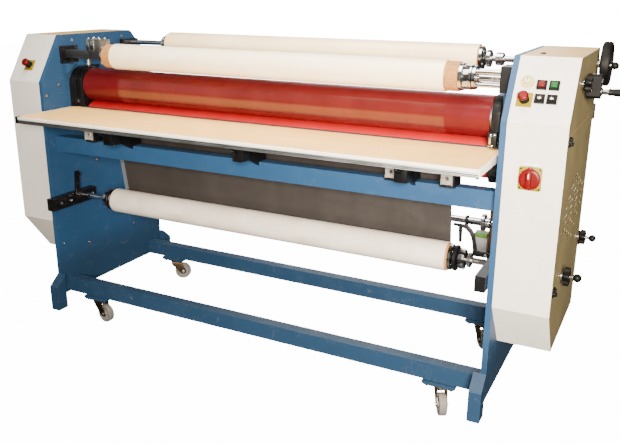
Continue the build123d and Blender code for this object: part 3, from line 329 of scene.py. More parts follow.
# %% Dust: on faces that look up, thicker in some places
g, given, gives = effect("Settled dust", {"Patch Size": 9.0}, ["Mask"])
spot = object_spot(g)
up = part(g, facing(g), 2)
patch = noise(g, spot, given["Patch Size"], 6.0, Roughness=0.65)
grit = noise(g, spot, 900.0, 2.0)
thick = times(g, spread(g, up, 0.25, 1.0), spread(g, patch, 0.38, 0.72))
g.links.new(times(g, thick, spread(g, grit, 0.35, 0.6, 0.5, 1.0)), gives["Mask"])

# %% Marks of hands and cloths: smears a few centimetres wide, and fine scratches
g, given, gives = effect("Handling marks", {"Smear Size": 11.0, "Scratch Size": 60.0}, ["Smear", "Scratch"])
spot = object_spot(g)
smear = noise(g, spot, given["Smear Size"], 4.0, Distortion=1.2)
thin = stretched(g, spot, (1.0, 0.12, 0.5))
cells = put(g, "TexVoronoi", {"Vector": thin, "Scale": given["Scratch Size"]}, feature="DISTANCE_TO_EDGE")
g.links.new(spread(g, smear, 0.42, 0.66), gives["Smear"])
line = spread(g, cells.outputs["Distance"], 0.02, 0.0)
g.links.new(times(g, line, spread(g, smear, 0.5, 0.6)), gives["Scratch"])
print("shared effects:", [tree.name for tree in bpy.data.node_groups])

# %% [markdown]
# ## From effects to finishes
# One function makes a finish from its colour, its gloss and how much of each effect it shows. What a
# finish adds of its own, such as the turns of a cardboard tube, is worked out first and handed in as
# the base colour or as an extra height. Numbers that are the same all over go straight on the shader.

# %% The general finish
FINISH = {}
DUST = tint("b9b2a4")
SCRATCHED = tint("d8d4cc")


def finish(name, colour, rough, metallic=0.0, coat=0.0, shine=0.5, cloud=0.06, peel=0.25, peel_size=600.0,
           grain=None, worn=None, worn_rough=0.35, dust=0.12, smear=0.08, scratch=0.0, depth=0.0003):
    """Material from a colour and the shared effects. The colour is a code, or a pattern of the
    finish's own: a function that is given the tree and gives back (colour, height or None)."""
    made = bpy.data.materials.new(name)
    tree = new_tree(made)
    film = use(tree, "Fine coat", Peel_Size=peel_size)
    marks = use(tree, "Handling marks")
    base, height = colour(tree) if callable(colour) else (tint(colour), None)
    base = shaded(tree, base, maths(tree, "SUBTRACT", 1.0, times(tree, film["Cloud"], cloud * 2)))
    gloss = plus(tree, rough, times(tree, marks["Smear"], smear))
    relief = times(tree, film["Height"], peel)
    if grain:
        lines = use(tree, "Drawn grain", Stretch=grain)
        relief = plus(tree, relief, lines["Height"])
        base = shaded(tree, base, spread(tree, lines["Streak"], 0.0, 1.0, 0.86, 1.06))
        gloss = plus(tree, gloss, times(tree, lines["Streak"], 0.1))
    if height is not None:
        relief = plus(tree, relief, height)
    if scratch:
        line = times(tree, marks["Scratch"], scratch)
        base = blend(tree, line, base, SCRATCHED)
        gloss = plus(tree, gloss, times(tree, line, 0.3))
    if worn:
        rub = use(tree, "Edge wear")["Mask"]
        base = blend(tree, times(tree, rub, 0.75), base, tint(worn))
        gloss = plus(tree, gloss, times(tree, rub, worn_rough - rough))
    if dust:
        lies = times(tree, use(tree, "Settled dust")["Mask"], dust)
        base = blend(tree, lies, base, DUST)
        gloss = plus(tree, gloss, times(tree, lies, 0.5))
    bump = put(tree, "Bump", {"Height": relief, "Strength": 0.35, "Distance": depth}).outputs[0]
    shader = put(tree, "BsdfPrincipled", {
        "Base Color": base, "Roughness": gloss, "Metallic": metallic, "Specular IOR Level": shine,
        "Normal": bump, "Coat Weight": coat, "Coat Roughness": 0.12})
    put(tree, "OutputMaterial", {"Surface": shader.outputs[0]})
    FINISH[name] = made
    return made


# %% Coats that change with height or facing
def yellower_facing_up(tree):
    """Own pattern of the covers: the coat turns warmer and yellower where it faces up."""
    up = part(tree, facing(tree), 2)
    return blend(tree, spread(tree, up, 0.75, 0.95), tint("dad8d2"), tint("dfb970")), None


def painted_shade_low(tree):
    """Own pattern of the frame: painted shade, darker near the floor where less light reaches it."""
    height = part(tree, object_spot(tree), 2)
    # painted shade: the blue gets darker from 0.34 m down to 0.22 m above the floor
    return blend(tree, spread(tree, height, 0.34, 0.22), tint("234467"), tint("1d3650")), None


# %% Plain finishes
# The frame's blue is darkened near the floor as painted shade.
BLUE = finish("blue_powder_coat", painted_shade_low, 0.42, cloud=0.05, worn="3f6f90", dust=0.03, scratch=0.06,
              shine=0.25)
COVER = finish("cover_coat", yellower_facing_up, 0.42, cloud=0.03, peel=0.5, peel_size=420.0, worn="cfc8ba", dust=0.06)
PANEL = finish("panel_coat", "817652", 0.40, cloud=0.12, peel=0.5, peel_size=420.0, worn="a58c58",
               dust=0.10, smear=0.14)
BLACK = finish("satin_black_coat", "0b0c0e", 0.38, cloud=0.10, worn="34363a", dust=0.03, scratch=0.05,
               shine=0.22)
MOULDED = finish("black_moulding", "060606", 0.44, cloud=0.08, peel=0.8, peel_size=900.0, worn="1c1c1c",
                 dust=0.02, smear=0.16, shine=0.14)
ZINC = finish("zinc_plate", "a9a79f", 0.30, metallic=1.0, cloud=0.14, grain=(30.0, 900.0, 900.0),
              worn="e2e0d8", dust=0.10)
CHROME = finish("bright_chrome", "d8dadd", 0.09, metallic=1.0, cloud=0.05, peel=0.05,
                grain=(600.0, 60.0, 60.0), dust=0.05, smear=0.10)
STEEL = finish("turned_steel", "b4b5b6", 0.26, metallic=1.0, cloud=0.08, grain=(1400.0, 40.0, 40.0),
               dust=0.06)
MOTOR = finish("grey_enamel", "666b70", 0.38, coat=0.2, cloud=0.08, worn="a7a9aa", dust=0.25)
WHITE_EDGE = finish("white_edging", "f3efe4", 0.33, cloud=0.04, peel=0.2, dust=0.06, smear=0.12)
ALLOY = finish("drawn_aluminium", "a3a6a8", 0.32, metallic=1.0, cloud=0.06, grain=(8.0, 1600.0, 1600.0),
               dust=0.05)
YELLOW = finish("yellow_plate", "7b6c00", 0.42, cloud=0.05, peel=0.15, worn="e0b020", dust=0.02, shine=0.2)
RED = finish("red_moulding", "5a0001", 0.34, cloud=0.06, peel=0.1, dust=0.02, smear=0.12, shine=0.2)
GREEN = finish("green_moulding", "014a18", 0.34, cloud=0.05, peel=0.1, dust=0.02, shine=0.2)
IVORY = finish("ivory_moulding", "d6c48a", 0.40, cloud=0.05, peel=0.3, dust=0.05)
CASTER_ZINC = finish("caster_zinc", "6e5c48", 0.34, metallic=1.0, cloud=0.20, grain=(120.0, 120.0, 30.0),
                     worn="e6e6e0", dust=0.14)
TYRE = finish("grey_tyre", "6f6d69", 0.62, cloud=0.14, peel=1.0, peel_size=500.0, dust=0.30, smear=0.2)
RED_SEAL = finish("red_seal", "b5281f", 0.5, cloud=0.10, dust=0.12)
print("plain finishes:", len(FINISH))

# %% [markdown]
# ## Finishes with a pattern of their own
# Rubber rollers are ground on a lathe, so they carry fine rings, and their colour changes slowly
# along them. Film is wound in turns that show only on the ends of a roll. A cardboard core is made
# from strips wound at a slant. Each pattern is worked out from the distance to the roll's own axis,
# the turn round it and the place along it, all read from object coordinates, so it stays on the roll.

# %% Coordinates round an axis
def round_axis(tree, axis):
    """Place along a shaft, distance from its axis and turn from 0 to 1. Axis: (Y, Z) in millimetres."""
    spot = object_spot(tree)
    centre = at(0, *axis)
    local = put(tree, "VectorMath", {0: spot, 1: tuple(centre)}, operation="SUBTRACT").outputs[0]
    x, y, z = put(tree, "SeparateXYZ", {0: local}).outputs
    radius = maths(tree, "SQRT", plus(tree, times(tree, y, y), times(tree, z, z)))
    turn = plus(tree, maths(tree, "DIVIDE", maths(tree, "ARCTAN2", z, y), 2 * pi), 0.5)
    return x, radius, turn


def facing_along(tree):
    """1 on faces that look along X, 0 on the round side."""
    x = part(tree, facing(tree), 0)
    return spread(tree, maths(tree, "ABSOLUTE", x), 0.6, 0.8)


def centre_of(node):
    """Y and Z in millimetres of a CAD node's middle, on the machine's datum."""
    low, high = box_mm(node)
    return (low.y + high.y) / 2, (low.z + high.z) / 2


AXIS = {roll: centre_of(roll + "_core") for roll in ("front", "rear", "lower")}
AXIS.update(top=centre_of("top_sleeve"), bottom=centre_of("bottom_sleeve"))
print("axes:", {name: tuple(round(v, 1) for v in axis) for name, axis in AXIS.items()})

# %% Rubber, film and cardboard
def ground_rubber(axis, rim, fade):
    """Own pattern of a ground roller: fine rings, and a slow change of colour along it."""
    def own(tree):
        x = round_axis(tree, axis)[0]
        along = put(tree, "CombineXYZ", {0: x, 1: 0.0, 2: 0.0}).outputs[0]
        ring = noise(tree, along, 700.0, 3.0)
        band = noise(tree, along, 9.0, 2.0)
        colour = blend(tree, spread(tree, band, 0.35, 0.65), tint(rim), tint(fade))
        return blend(tree, facing_along(tree), colour, tint("7e1712")), times(tree, ring, 0.8)
    return own


def wound(axis, face, edge, turn_mm=0.9):
    """Own pattern of wound film: smooth outside with faint tension bands, ringed ends."""
    def own(tree):
        x, radius, turn = round_axis(tree, axis)
        ring = maths(tree, "SINE", times(tree, radius, 2 * pi / (turn_mm * MM)))
        spot = put(tree, "CombineXYZ", {0: x, 1: times(tree, turn, 0.15), 2: 0.0}).outputs[0]
        band = noise(tree, spot, 7.0, 3.0)
        crease = noise(tree, stretched(tree, spot, (40.0, 4.0, 1.0)), 1.0, 4.0)
        side = blend(tree, spread(tree, band, 0.35, 0.7), tint(face), tint(edge))
        ends = blend(tree, spread(tree, ring, -1.0, 1.0), tint(edge), tint("b9a88a"))
        on_end = facing_along(tree)
        relief = plus(tree, times(tree, times(tree, ring, on_end), 0.6), crease)
        return blend(tree, on_end, side, ends), relief
    return own


def spiral(axis, strip_mm=62.0):
    """Own pattern of a cardboard core: slanted strips, layered ends, long fibres."""
    def own(tree):
        x, radius, turn = round_axis(tree, axis)
        wind = maths(tree, "FRACT", plus(tree, maths(tree, "DIVIDE", x, strip_mm * MM), turn))
        inward = spread(tree, maths(tree, "ABSOLUTE", maths(tree, "SUBTRACT", wind, 0.5)), 0.5, 0.47)
        seam = maths(tree, "SUBTRACT", 1.0, inward)
        fibre = noise(tree, stretched(tree, object_spot(tree), (90.0, 420.0, 420.0)), 1.0, 5.0)
        layer = maths(tree, "SINE", times(tree, radius, 2 * pi / (0.8 * MM)))
        side = blend(tree, spread(tree, fibre, 0.35, 0.65), tint("93622f"), tint("b4844a"))
        side = blend(tree, times(tree, seam, 0.7), side, tint("6b4520"))
        ends = blend(tree, spread(tree, layer, -1.0, 1.0), tint("8a5c2e"), tint("bb8a50"))
        return blend(tree, facing_along(tree), side, ends), maths(tree, "SUBTRACT", fibre, seam)
    return own


# %% Finishes of the rollers and rolls
RUBBER_TOP = finish("top_rubber", ground_rubber(AXIS["top"], "4e0c10", "560e13"), 0.30, coat=0.05,
                    shine=0.18, cloud=0.06, peel=0.1, dust=0.02, smear=0.12)
RUBBER_LOW = finish("bottom_rubber", ground_rubber(AXIS["bottom"], "9a1216", "a2161a"), 0.30, coat=0.05,
                    shine=0.2, cloud=0.05, peel=0.1, dust=0.01, smear=0.10)
FILM_FRONT = finish("front_film", wound(AXIS["front"], "fff5dc", "f8e6bd"), 0.30, coat=0.3,
                    cloud=0.03, peel=0.0, dust=0.04)
FILM_REAR = finish("rear_film", wound(AXIS["rear"], "ffeac4", "f3d7a2"), 0.30, coat=0.3,
                   cloud=0.03, peel=0.0, dust=0.04)
FILM_LOW = finish("lower_film", wound(AXIS["lower"], "e4ddd3", "cfc5b8"), 0.34, coat=0.2,
                  cloud=0.04, peel=0.0, dust=0.06)
CARD = {roll: finish(roll + "_cardboard", spiral(AXIS[roll]), 0.75, cloud=0.08, peel=0.3, dust=0.08,
                     depth=0.0005)
        for roll in ("front", "rear", "lower")}
print("rolls:", RUBBER_TOP.name, FILM_FRONT.name, [card.name for card in CARD.values()])

# %% [markdown]
# ## Table and webs
# The table is a pale laminate with the faint fleck such boards have. The film web over the upper
# roller is glossy and partly clear, so the red rubber tints it and long soft streaks cross it. The
# web below is a plain backing film under tension, with faint lengthwise creases; it is cream film in shadow, so
# its dark grey is painted shade.

# %% Laminate and webs
def laminate(tree):
    """Own pattern of the table's laminate: a faint straight grain and fleck."""
    spot = object_spot(tree)
    run = stretched(tree, spot, (3.0, 70.0, 40.0))
    grain = noise(tree, run, 1.0, 6.0, Distortion=0.4)
    fleck = noise(tree, spot, 260.0, 3.0)
    colour = blend(tree, spread(tree, grain, 0.36, 0.66), tint("ffd07a"), tint("fbc268"))
    colour = blend(tree, times(tree, spread(tree, fleck, 0.58, 0.7), 0.35), colour, tint("c0925a"))
    side = part(tree, facing(tree), 2)
    core = blend(tree, spread(tree, fleck, 0.35, 0.65), tint("a07a4c"), tint("c39c69"))
    edge = spread(tree, maths(tree, "ABSOLUTE", side), 0.6, 0.3)
    return blend(tree, edge, colour, core), times(tree, grain, 0.4)


def web_streaks(light, dark, across, hem=None):
    """Own pattern of a stretched web: soft bands, creases along the pull, a paler hem at one end."""
    def own(tree):
        spot = object_spot(tree)
        run = stretched(tree, spot, across)
        pull = noise(tree, run, 1.0, 4.0, Roughness=0.6)
        slow = noise(tree, spot, 3.0, 2.0)
        shade = plus(tree, times(tree, pull, 0.6), times(tree, slow, 0.4))
        colour = blend(tree, spread(tree, shade, 0.35, 0.65), tint(dark), tint(light))
        if hem is not None:
            x = part(tree, spot, 0)
            colour = blend(tree, spread(tree, x, hem + 0.002, hem), colour, tint("5c626c"))
        return colour, times(tree, pull, 0.8)
    return own


# %% Finishes of the table and the webs
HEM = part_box("lower_web")[0].x + 0.018     # the lower web's hem is 18 mm wide
TABLE = finish("table_laminate", laminate, 0.34, cloud=0.03, peel=0.2, dust=0.03, smear=0.14, scratch=0.12)
WEB_TOP = finish("clear_web", web_streaks("5a1d1b", "4a1211", (8.0, 2.0, 2.0)), 0.16, coat=0.3,
                 cloud=0.04, peel=0.0, dust=0.03, smear=0.10, depth=0.0005)
# painted shade: the lower web is cream film, coloured dark grey because it hangs in shadow
WEB_LOW_PAINTED_SHADE = finish("grey_web_painted_shade", web_streaks("34302f", "2b2827", (9.0, 1.2, 1.2), HEM), 0.40, coat=0.1,
                 cloud=0.05, peel=0.0, dust=0.08, smear=0.12, depth=0.0006)
print("sheets:", TABLE.name, WEB_TOP.name, WEB_LOW_PAINTED_SHADE.name)

# %% [markdown]
# ## Dress the CAD nodes
# Every node that keeps its CAD shape gets its finish here. Nodes that later cells replace with a
# detailed piece get one as well, so nothing is ever bare if a replacement is taken out.

# %% Finishes on the nodes
DRESS = {
    BLUE: ["side_plates", "cross_beams", "frame_blocks"],
    COVER: ["left_cover", "right_cover"], PANEL: ["vent_panel"],
    MOULDED: ["panel_latches", "lift_crank", "handwheel", "tension_knob_top", "tension_knob_lower",
              "tension_knob_takeup"],
    BLACK: ["roll_brackets", "roller_end_plates", "table_brackets", "release_lever"],
    ZINC: ["spindle_fittings"], CHROME: ["screws", "front_hubs", "rear_hubs", "lower_hubs", "takeup_shaft"],
    STEEL: ["bearing_blocks", "top_shaft", "bottom_shaft", "top_journals", "bottom_journals",
            "lift_shaft", "lift_screw_left", "lift_screw_right"],
    MOTOR: ["drive_motor", "control_box"], YELLOW: ["control_plates"], WHITE_EDGE: ["table_edging"],
    RED: ["estop_head_right", "estop_head_left", "stop_button", "switch_knob"], GREEN: ["start_button"],
    IVORY: ["speed_knob", "forward_button", "reverse_button"], CASTER_ZINC: ["caster_plates"],
    RUBBER_TOP: ["top_sleeve"], RUBBER_LOW: ["bottom_sleeve"],
    FILM_FRONT: ["front_film"], FILM_REAR: ["rear_film"], FILM_LOW: ["lower_film"],
    TABLE: ["feed_table"], WEB_TOP: ["top_web"], WEB_LOW_PAINTED_SHADE: ["lower_web"],
    CARD["front"]: ["front_core"], CARD["rear"]: ["rear_core"], CARD["lower"]: ["lower_core"],
}
CORNERS = ("fl", "fr", "rl", "rr")
DRESS[CASTER_ZINC] += ["caster_fork_" + corner for corner in CORNERS]
DRESS[TYRE] = ["caster_wheel_" + corner for corner in CORNERS]
for coat, nodes in DRESS.items():
    for name in nodes:
        mesh = frame["nodes"][name].data
        mesh.materials.clear()
        mesh.materials.append(coat)
dressed = {name for nodes in DRESS.values() for name in nodes}
print("nodes dressed:", len(dressed), "left over:", sorted(set(frame["nodes"]) - dressed))

# %% [markdown]
# ## How the small pieces are shaped
# A fitter thinks of turned parts, cut plates and lengths of drawn strip, so there is one helper for
# each: a profile spun round an axis, a flat outline given a thickness with its edges eased, and an
# outline pushed along the machine. A piece may hold several of them. They work in millimetres in a
# local place, and the finished mesh is stored at its real place with its object at the origin, as
# the CAD nodes are.

# %% Local places
def turned_to(origin, x_dir, z_dir):
    """Local place: origin is a point in the frame, x_dir and z_dir are the local axes."""
    z = Vector(z_dir).normalized()
    x = Vector(x_dir).normalized()
    y = z.cross(x)
    place = Matrix((x, y, z)).transposed().to_4x4()
    place.translation = origin
    return place @ Matrix.Scale(MM, 4)


def along_x(x, axis):
    """Local place on a shaft along X: its Z runs to the right, its X up and its Y to the feed side."""
    return turned(turned_to(at(x, *axis), (0, -1, 0), (1, 0, 0)), -pi / 2)


def standing(x, y, z):
    """Local place with its axes along the frame's."""
    return turned_to(at(x, y, z), (1, 0, 0), (0, 0, 1))


def forward(x, y, z):
    """Local place whose Z faces the feed side; its X runs to the right and its Y up."""
    return turned_to(at(x, y, z), (1, 0, 0), (0, -1, 0))


def moved(place, x, y, z):
    """The local place moved along its own axes."""
    return place @ Matrix.Translation((x, y, z))


def turned(place, angle, axis="Z"):
    """The local place turned about one of its own axes."""
    return place @ Matrix.Rotation(angle, 4, axis)


def around(place, count, start=0.0):
    """The local place turned about its Z in count equal steps."""
    return [turned(place, start + i * 2 * pi / count) for i in range(count)]


# %% Spun profiles
def put_in(work, verts, faces, place, paint=0):
    """Adds points and faces at a local place, painted with one of the piece's finishes."""
    made = [work.verts.new(place @ Vector(p)) for p in verts]
    out = []
    for face in faces:
        new = work.faces.new([made[i] for i in face])
        new.material_index = paint
        out.append(new)
    return out


def spun(work, place, profile, paint=0, sides=40, tube=False):
    """Spins a profile of (radius, height) round local Z. A tube's profile closes on itself."""
    verts, faces, rows = [], [], []
    for radius, height in profile:
        if radius < 1e-6 and not tube:
            rows.append([len(verts)] * sides)
            verts.append((0, 0, height))
        else:
            rows.append(list(range(len(verts), len(verts) + sides)))
            angles = [2 * pi * i / sides for i in range(sides)]
            verts += [(radius * cos(a), radius * sin(a), height) for a in angles]
    pairs = list(zip(rows, rows[1:])) + ([(rows[-1], rows[0])] if tube else [])
    for low, high in pairs:
        for i in range(sides):
            j = (i + 1) % sides
            ring = [low[i], low[j], high[j], high[i]]
            face = [v for k, v in enumerate(ring) if v not in ring[:k]]
            if len(face) > 2:
                faces.append(face)
    if not tube:
        for row, turn in ((rows[0], -1), (rows[-1], 1)):
            if len(set(row)) > 1:
                faces.append(row[::turn])
    return put_in(work, verts, faces, place, paint)


def eased(profile, ease=1.0):
    """A (radius, height) profile with every outer corner cut by a small chamfer."""
    out = [profile[0]]
    for before, here, after in zip(profile, profile[1:], profile[2:]):
        a, b, c = Vector(before), Vector(here), Vector(after)
        cut = min(ease, (a - b).length * 0.4, (c - b).length * 0.4)
        out += [tuple(b + (a - b).normalized() * cut), tuple(b + (c - b).normalized() * cut)]
    return out + [profile[-1]]


def sleeve(work, place, radii, length, ease, paint, sides):
    """Tube along local Z; radii are its bore and its outside."""
    bore, outer = radii
    profile = [(bore, 0), (outer, 0), (outer, length), (bore, length)]
    spun(work, place, eased(profile, ease) if ease else profile, paint, sides, tube=True)


def rod(work, place, radius, length, ease, paint, sides):
    """Solid round bar along local Z."""
    profile = [(0, 0), (radius, 0), (radius, length), (0, length)]
    spun(work, place, eased(profile, ease) if ease else profile, paint, sides)


# %% Bars and blocks
def bar(work, place, outline, height, ease=0.8, paint=0, steps=2):
    """Gives a flat outline in local X and Y a thickness along Z, then eases its edges."""
    count = len(outline)
    verts = [(x, y, 0) for x, y in outline] + [(x, y, height) for x, y in outline]
    faces = [list(range(count))[::-1], list(range(count, 2 * count))]
    faces += [[i, (i + 1) % count, count + (i + 1) % count, count + i] for i in range(count)]
    new = put_in(work, verts, faces, place, paint)
    if ease:
        edges = list({edge for face in new for edge in face.edges})
        bmesh.ops.bevel(work, geom=edges, offset=ease * MM, segments=steps, profile=0.5, affect="EDGES",
                        material=-1, clamp_overlap=True)


def rounded(width, height, radius=0.0, cx=0.0, cy=0.0, steps=4):
    """Outline of a rectangle round (cx, cy) with rounded corners."""
    corners = ((1, 1), (-1, 1), (-1, -1), (1, -1))
    if not radius:
        return [(cx + sx * width / 2, cy + sy * height / 2) for sx, sy in corners[2:] + corners[:2]]
    out = []
    for corner, (sx, sy) in enumerate(corners):
        x, y = cx + sx * (width / 2 - radius), cy + sy * (height / 2 - radius)
        for i in range(steps + 1):
            angle = (corner + i / steps) * pi / 2
            out.append((x + radius * cos(angle), y + radius * sin(angle)))
    return out


def block(work, low, high, ease=1.2, paint=0):
    """Box between two corners on the machine's datum, edges eased."""
    size = Vector(high) - Vector(low)
    place = standing(low[0] + size.x / 2, low[1] + size.y / 2, low[2])
    bar(work, place, rounded(size.x, size.y), size.z, ease, paint)


def section(work, x0, x1, outline, ease=0.8, paint=0):
    """Length of bar along X with a (Y, Z) outline on the machine's datum."""
    place = turned_to(at(x0, 0, 0), (0, 1, 0), (1, 0, 0))
    bar(work, place, outline, x1 - x0, ease, paint)


# %% Finished pieces
def hand_over(name, mesh, body, stands_for=()):
    """Puts a finished mesh in the scene, on its body and the nodes it stands for."""
    made = new_object(name, mesh)
    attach(made, body)
    if stands_for:
        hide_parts(stands_for)


def piece(name, work, coats, body, stands_for=(), sharp=32):
    """Finishes a mesh: normals outward, smooth but for sharp edges, riding on a CAD body."""
    bmesh.ops.remove_doubles(work, verts=work.verts, dist=1e-6)
    bmesh.ops.recalc_face_normals(work, faces=work.faces)
    mesh = bpy.data.meshes.new(name)
    work.to_mesh(mesh)
    work.free()
    for coat in coats if isinstance(coats, list) else [coats]:
        mesh.materials.append(coat)
    mesh.shade_smooth()
    mesh.set_sharp_from_angle(angle=radians(sharp))
    hand_over(name, mesh, body, stands_for)
    print(f"{name}: {len(mesh.polygons)} faces on {body}")


print("shape helpers ready")

# %% [markdown]
# ## The console
# The controls sit on the sloped face of the right end, with one more stop switch on the left. Each is
# a bought part with a known build: a yellow plate under a black collar for the stop switches, square
# buttons in black bezels with a cream legend strip above, and a pale dial with a pointer. The slope is
# read from the joint of the right stop switch, whose axis points straight into the console.

# %% Places on the console
OUTWARD = -Vector(JOINT["estop_right_press"]["axis"])
UPHILL = OUTWARD.cross(Vector((1, 0, 0)))
FOLD = 996.0             # floor to the fold of the console
ESTOPS = {"right": (934.0, 70.0), "left": (-978.0, 70.0)}
DIAL_SPOT = (934.0, 124.0)
BUTTONS = {"stop_button": (974.0, 116.0), "start_button": (1008.0, 116.0),
           "forward_button": (975.0, 74.0), "reverse_button": (1008.0, 74.0)}
SWITCH_SPOT = (976.0, 842.0)


def on_console(x, climb, lift=0.0):
    """Local place on the slope: X along the machine, Y uphill, Z outward."""
    origin = at(x, 0, FOLD) + UPHILL * climb * MM + OUTWARD * lift * MM
    return turned_to(origin, (1, 0, 0), OUTWARD)


def on_front(x, z, lift=0.0):
    """Local place on the upright face at the front."""
    return forward(x, -lift, z)


print("console slope", round(degrees(atan2(UPHILL.z, UPHILL.y)), 1), "degrees")

# %% Stop switches
STOP_TRAVEL = 5.3        # gap that the head closes when it is pressed
STOP_SEAT = 18.0         # top of the collar
STOP_LOW = STOP_SEAT + STOP_TRAVEL
COLLAR = [(14, 2), (14, 4), (13, 5), (13, 13), (12.4, 14), (12.4, 17.2), (11.6, STOP_SEAT),
          (9.6, STOP_SEAT), (8.8, 16.5), (8.8, 6), (7.2, 6), (7.2, 2)]
STOP_HEAD = [(0, 9.4), (6.9, 9.4), (6.9, STOP_LOW), (10, STOP_LOW), (13, STOP_LOW + 0.6),
             (14.5, STOP_LOW + 2.2), (15, STOP_LOW + 4.6), (14.4, STOP_LOW + 7.4),
             (12.4, STOP_LOW + 9.6), (9.4, STOP_LOW + 10.8), (6, STOP_LOW + 10.9),
             (3, STOP_LOW + 10.6), (0, STOP_LOW + 10.5)]

for hand, (x, climb) in ESTOPS.items():
    place = on_console(x, climb)
    work = bmesh.new()
    bar(work, place, rounded(44, 44, 3), 2.0, 0.5, 0)
    spun(work, place, COLLAR, 1, 44, tube=True)
    for turn in around(place, 12):
        bar(work, moved(turn, 13.0, 0, 6), rounded(1.6, 2.6), 6.5, 0.4, 1)
    piece("estop_mount_" + hand, work, [YELLOW, MOULDED], "frame")
    work = bmesh.new()
    spun(work, place, STOP_HEAD, 0, 48)
    piece("estop_cap_" + hand, work, RED, "estop_" + hand, "estop_head_" + hand, 40)

# %% Push buttons and their legend strips
work = bmesh.new()
for x, climb in BUTTONS.values():
    place = on_console(x, climb)
    for turn in around(place, 4):
        bar(work, moved(turn, 0, 11.1, 0), rounded(27, 4.7, cy=0.05), 9.0, 0.5, 0)
    bar(work, place, rounded(20, 20), 2.0, 0.2, 0)
    bar(work, on_console(x, climb + 16.5), rounded(27, 6, 1), 2.2, 0.4, 1)
    bar(work, on_console(x, climb + 16.5, 2.2), rounded(24, 4, 0.6), 0.7, 0.2, 2)
piece("button_bezels", work, [MOULDED, IVORY, WHITE_EDGE], "frame")

# %% Button caps
CAP_TOP = 12.6
for name, (x, climb) in BUTTONS.items():
    work = bmesh.new()
    coat = {"stop_button": RED, "start_button": GREEN}.get(name, MOULDED)
    place = on_console(x, climb)
    bar(work, moved(place, 0, 0, 5.4), rounded(16.7, 16.7, 1.3), CAP_TOP - 6.2, 1.6, 0, 3)
    if coat == MOULDED:
        way = 1 if name == "forward_button" else -1
        arrow = [(-5, -1.8), (0.4, -1.8), (0.4, -4.6), (5.4, 0), (0.4, 4.6), (0.4, 1.8), (-5, 1.8)]
        bar(work, moved(place, 0, 0, CAP_TOP - 1.2), [(way * x, y) for x, y in arrow][::way], 0.8, 0.15, 1)
    else:
        lens = [(0, 0), (5.6, 0), (5.6, 0.5), (5.1, 0.8), (0, 0.35)]
        spun(work, moved(place, 0, 0, CAP_TOP - 1.2), lens, 0, 28)
    body = name.replace("_button", "")
    piece(name + "_cap", work, [coat, WHITE_EDGE], body, name)

# %% Speed dial
work = bmesh.new()
place = on_console(*DIAL_SPOT)
spun(work, place, eased([(21, 0), (21, 1.4), (20, 2), (5, 2), (5, 0)], 0.3), 0, 56, tube=True)
spun(work, place, [(16.4, 1.9), (16.4, 2.25), (15.6, 2.25), (15.6, 1.9)], 1, 56, tube=True)
for mark in range(11):
    turn = turned(moved(place, 0, 0, 1.9), radians(135 - 27 * mark))
    long = 3.4 if mark % 5 == 0 else 2.2
    bar(work, moved(turn, 0, 17.6, 0), rounded(0.8, long), 0.4, 0, 1)
piece("dial_plate", work, [IVORY, MOULDED], "frame")

work = bmesh.new()
knob = [(0, 0.2), (4, 0.2), (4, 2.4), (12.5, 2.4), (13, 3.2), (12.2, 4.4), (10.2, 5), (9.4, 14.2),
        (8.4, 15.4), (4, 15.8), (0, 15.8)]
spun(work, place, knob, 0, 44)
for turn in around(place, 16):
    bar(work, moved(turn, 9.6, 0, 5), rounded(1.2, 1.5), 8.6, 0.35, 0, 1)
bar(work, moved(place, 0, 5.5, 14.9), rounded(1.6, 12.5), 1.3, 0.2, 1)
piece("dial_knob", work, [IVORY, MOULDED], "speed", "speed_knob")

# %% Main switch and the blank label
SWITCH_X, SWITCH_Z = SWITCH_SPOT
LABEL_Z = SWITCH_Z + 41
LABEL_W, LABEL_H = 46, 11.5      # the label's dark border
work = bmesh.new()
bar(work, on_front(SWITCH_X, SWITCH_Z), rounded(64, 68, 6), 5.0, 0.8, 0)
bar(work, on_front(SWITCH_X, SWITCH_Z, 5.0), rounded(59, 63, 5), 1.0, 0.4, 0)
plate_screw = [(0, 0), (2.6, 0), (2.6, 0.7), (1.4, 0.9), (1.4, 0.5), (0, 0.5)]
for sx in (-1, 1):
    for sz in (-1, 1):
        spun(work, on_front(SWITCH_X + sx * 26, SWITCH_Z + sz * 28, 5.6), plate_screw, 1, 16)
bar(work, on_front(SWITCH_X, LABEL_Z), rounded(50, 15, 1.5), 0.6, 0.2, 2)
for sx in (-1, 1):
    bar(work, on_front(SWITCH_X + sx * LABEL_W / 2, LABEL_Z, 0.6), rounded(0.9, LABEL_H), 0.35, 0, 1)
    bar(work, on_front(SWITCH_X, LABEL_Z + sx * LABEL_H / 2, 0.6), rounded(LABEL_W, 0.9), 0.35, 0, 1)
piece("switch_plate", work, [YELLOW, MOULDED, WHITE_EDGE], "frame", "control_plates")

# %% Main switch handle
work = bmesh.new()
place = on_front(*SWITCH_SPOT)
disc = [(0, 2.1), (7, 2.1), (7, 6.3), (29.2, 6.3), (30, 7.2), (30, 14), (28.8, 16.6), (26, 18.1),
        (21, 18.3), (0, 18.3)]
spun(work, place, disc, 0, 56)
for ridge, turn in enumerate(around(place, 20, pi / 20)):
    if abs(ridge * 18 + 9 - 90) > 34:        # none under the nose
        bar(work, moved(turn, 29.6, 0, 7.5), rounded(1.0, 3.6), 7.0, 0.3, 0, 1)
nose = [(-14, 24), (14, 24), (9, 29), (3.2, 35.4), (-3.2, 35.4), (-9, 29)]
bar(work, moved(place, 0, 0, 6.4), nose, 11.5, 1.2, 0)
grip = [(-7.4, -23), (-4, -24.6), (4, -24.6), (7.4, -23), (6.6, 20), (3.4, 24.6), (-3.4, 24.6), (-6.6, 20)]
bar(work, moved(place, 0, 0, 17.6), grip, 14.4, 2.4, 0, 3)
bar(work, moved(place, 0, 13, 31.7), rounded(2.2, 14, 0.8), 0.5, 0, 1)
